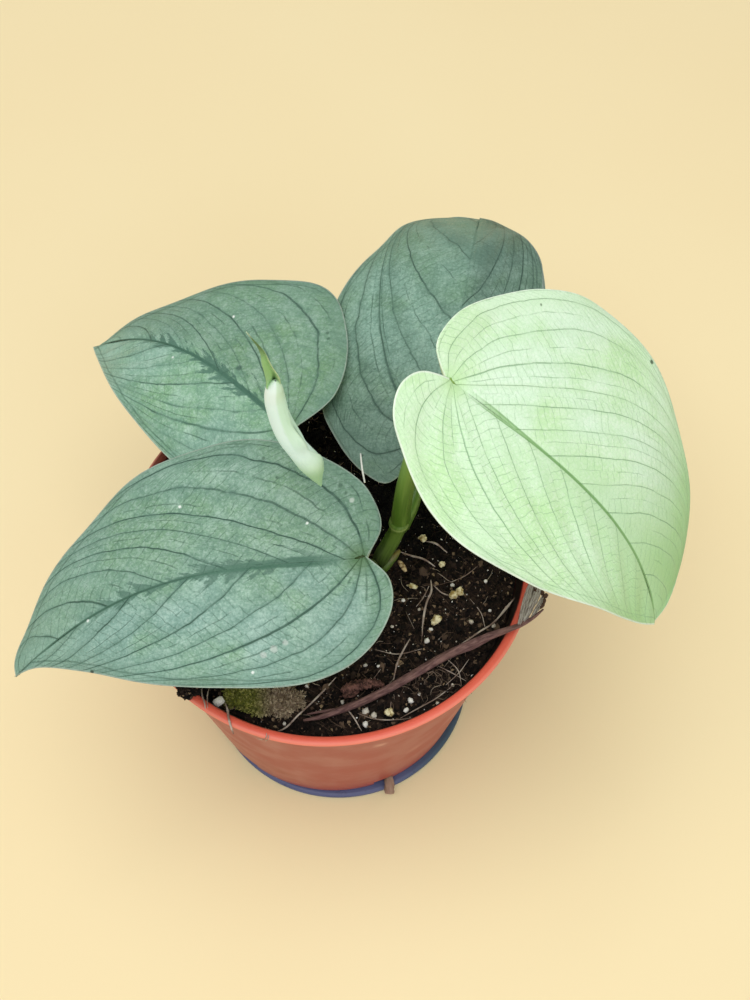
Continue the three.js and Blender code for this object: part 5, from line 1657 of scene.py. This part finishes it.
# %% [markdown]
# ## The new leaf
# The youngest leaf is still rolled. A thin sheet is wound about one and a half times round a
# slender axis, so that its outer edge shows as a slanting line. Its green tip is folded like a
# gutter and drawn out to a thread.

# %% Roll skin
roll_skin = Finish("new_leaf_skin", roughness=0.42, specular=0.45)
_, _, roll_z = roll_skin.axes()
roll_skin.colour = roll_skin.over(roll_skin.grain(9, 3), "e2fff4", "f2fffc")
roll_side = roll_skin.mark("side")
# The inner layer shows greener on one side of the roll, partly its own colour and partly painted shade
under_layer_and_shade = roll_skin.times(roll_skin.band(roll_side, 0.1, 0.4),
                              roll_skin.band(roll_z, 0.16, 0.174, 0.0, 0.6))
roll_skin.coat(under_layer_and_shade, "c6ebc0")
roll_skin.coat(roll_skin.band(roll_z, 0.15, 0.164, 0.95, 0.0), "abcc7c")
roll_skin.coat(roll_skin.mark("tip"), "a2cf8e")
# Painted shade deep in the fold of the tip
fold_shade = roll_skin.band(roll_skin.maths("ABSOLUTE", roll_skin.mark("turn")), 0.1, 0.6, 1.0, 0.0)
fold_shade = roll_skin.times(roll_skin.times(fold_shade, roll_skin.mark("tip")),
                            roll_skin.band(roll_z, 0.19, 0.196, 0.9, 0.1))
roll_skin.coat(fold_shade, "4a6a34")
roll_skin.coat(roll_skin.times(roll_skin.mark("wing"), 0.85), "cfe3b2")
roll_skin.coat(roll_skin.band(roll_z, 0.2, 0.206), "6c8a58")
roll_skin.coat(roll_skin.band(roll_z, 0.2075, 0.2095), "b9cdb0")
roll_veins = roll_skin.fibres(2, 0.5, 1.6, 0.09)
roll_skin.coat(roll_skin.band(roll_veins, 0.55, 0.68, 0.0, 0.18), "a9cf9c")
roll_skin.coat(roll_skin.times(roll_skin.mark("lip"), 0.5), "dcefce")
# The gap under the lifted outer edge is painted dark, as painted shade
roll_skin.coat(roll_skin.times(roll_skin.mark("slit"), 0.85), "5f7f4c")
roll_skin.relief(roll_veins, 0.1, 0.5)
# A faint cool emission, painted light on the roll, that ends below the green tip
roll_skin.shader.inputs["Emission Color"].default_value = (0.4, 0.75, 0.85, 1.0)
painted_glow = roll_skin.times(roll_skin.band(roll_skin.mark("tip"), 0.0, 0.5, 0.11, 0.0),
                       roll_skin.band(roll_z, 0.183, 0.188, 1.0, 0.0))
roll_skin.feed(roll_skin.shader.inputs["Emission Strength"], painted_glow)

# %% Roll shape
ROLL_PATH = [(-0.6, -4.7, 142.9, 0.3), (-1.1, -4.7, 145.5, 1.0), (-1.7, -4.7, 148.5, 1.85),
             (-2.3, -4.7, 152.2, 2.85), (-3.0, -4.7, 155.0, 3.35), (-4.4, -4.7, 158.4, 3.2),
             (-5.8, -4.7, 162.0, 3.0), (-7.0, -4.7, 166.0, 3.2), (-8.1, -4.7, 170.2, 3.15),
             (-9.0, -4.7, 174.7, 2.95), (-9.6, -4.7, 179.1, 2.8), (-9.95, -4.7, 183.4, 2.65),
             (-9.95, -4.7, 186.9, 2.3), (-9.6, -4.7, 189.4, 1.65), (-9.4, -4.7, 190.9, 0.8),
             (-9.35, -4.7, 191.4, 0.3)]
LIP_TURNS = [(143, 120), (156, 104), (161.5, 70), (167, 62), (174, 60), (180, 78), (191, 100)]
WINDS, ROLL_STEPS, SHEET = 1.4, 90, 0.42
LIP_LIFT, LIP_MIDDLE, SLIT_MIDDLE = 1.0, 167.0, 167.5
rows = smooth_path(ROLL_PATH, 8)
line, radii = rows[:, :3], rows[:, 3]
_, roll_normals, roll_sides = carried_frames(line, (0.0, -1.0, 0.0))
way = np.concatenate([[0], np.cumsum(np.linalg.norm(np.diff(line, axis=0), axis=1))])
wind = np.linspace(0, 1, ROLL_STEPS)
outer_edge = np.clip((wind - 0.9) / 0.1, 0, 1)
lip = np.clip((wind - 0.985) / 0.015, 0, 1)
slit_wind = 1 - 1 / WINDS + 0.012
roll_rings, roll_turns, roll_slits = [], [], []
for row in range(len(line)):
    z = line[row, 2]
    lip_turn = math.radians(np.interp(z, *zip(*LIP_TURNS)))
    angle = lip_turn - 2 * np.pi * WINDS * (1 - wind)
    lifted = LIP_LIFT * math.exp(-((z - LIP_MIDDLE) / 4.5) ** 2) * outer_edge
    spiral = radii[row] * (0.8 + 0.2 * wind) + lifted
    sheet = min(SHEET, radii[row] * 0.13)
    around = np.outer(np.cos(angle), roll_normals[row]) + np.outer(np.sin(angle), roll_sides[row])
    outer = line[row] + around * spiral[:, None]
    inner = line[row] + around * (spiral - sheet)[:, None]
    roll_rings.append(np.concatenate([outer, inner[::-1]]))
    roll_turns.append(np.concatenate([angle, angle[::-1]]))
    # Painted shade in the gap under the lifted edge
    slit = np.clip(1.4 - np.abs(wind - slit_wind) / 0.03, 0, 1) * math.exp(-((z - SLIT_MIDDLE) / 5.5) ** 4)
    roll_slits.append(np.concatenate([slit, slit[::-1]]))
print("roll is", round(float(way[-1]), 1), "mm long")


# %% Marks of the roll
ROLL_MARKS = ("turn", "way", "lip", "side", "wing", "slit", "tip")


def roll_marks(count, **given):
    return {mark: given.get(mark, np.zeros(count)) for mark in ROLL_MARKS}


all_turns = np.concatenate(roll_turns)
roll_part = (np.concatenate(roll_rings), closed_sheet(roll_rings, ROLL_STEPS),
             roll_marks(len(all_turns), turn=all_turns, side=np.sin(all_turns),
                        way=np.repeat(way, 2 * ROLL_STEPS), slit=np.concatenate(roll_slits),
                        lip=np.tile(np.concatenate([lip, lip[::-1]]), len(line))))

# %% Core, folded tip and thread
core_rows = [(x, y, z, max(0.15, radius * 0.6)) for x, y, z, radius in ROLL_PATH[:-1]]
core_points, core_faces, core_marks = tube(core_rows, 20, 5)
core_part = (core_points, core_faces, roll_marks(len(core_points), **core_marks))
TIP_PATH = [(-9.8, -4.0, 187.0, 1.2), (-9.9, -3.9, 190, 1.6), (-9.8, -4.4, 193.2, 1.5),
            (-10.3, -4.8, 196.4, 1.15), (-10.9, -5.2, 200.3, 0.85), (-11.4, -5.2, 203.7, 0.5),
            (-12.2, -5.2, 205.9, 0.27), (-13.2, -5.0, 207.7, 0.17), (-14.4, -4.8, 210.2, 0.12)]
tip_rows = smooth_path(TIP_PATH, 7)
_, tip_normals, tip_sides = carried_frames(tip_rows[:, :3], (0.0, -1.0, 0.0))
fold = np.linspace(-1, 1, 13)
TIP_WAY_FROM = 140
tip_rings = []
for row in range(len(tip_rows)):
    half = tip_rows[row, 3]
    bed = (tip_rows[row, :3] + np.outer(fold * half * 1.02, tip_sides[row])
           + np.outer(np.abs(fold - 0.15) ** 1.1 * half * 1.25 - half * 0.6, tip_normals[row]))
    skin_over = bed + tip_normals[row] * min(0.35, half * 0.4)
    tip_rings.append(np.concatenate([bed, skin_over[::-1]]))
tip_points = np.concatenate(tip_rings)
both_folds = np.tile(np.concatenate([fold, fold[::-1]]), len(tip_rows))
tip_part = (tip_points, closed_sheet(tip_rings, len(fold)),
            roll_marks(len(tip_points), turn=both_folds * 2, way=tip_points[:, 2] - TIP_WAY_FROM,
                       wing=np.clip((both_folds - 0.35) / 0.2, 0, 1), tip=np.ones(len(tip_points))))
assemble("new_leaf_roll", [roll_part, core_part, tip_part], roll_skin.done(), "new_leaf", "new_leaf")
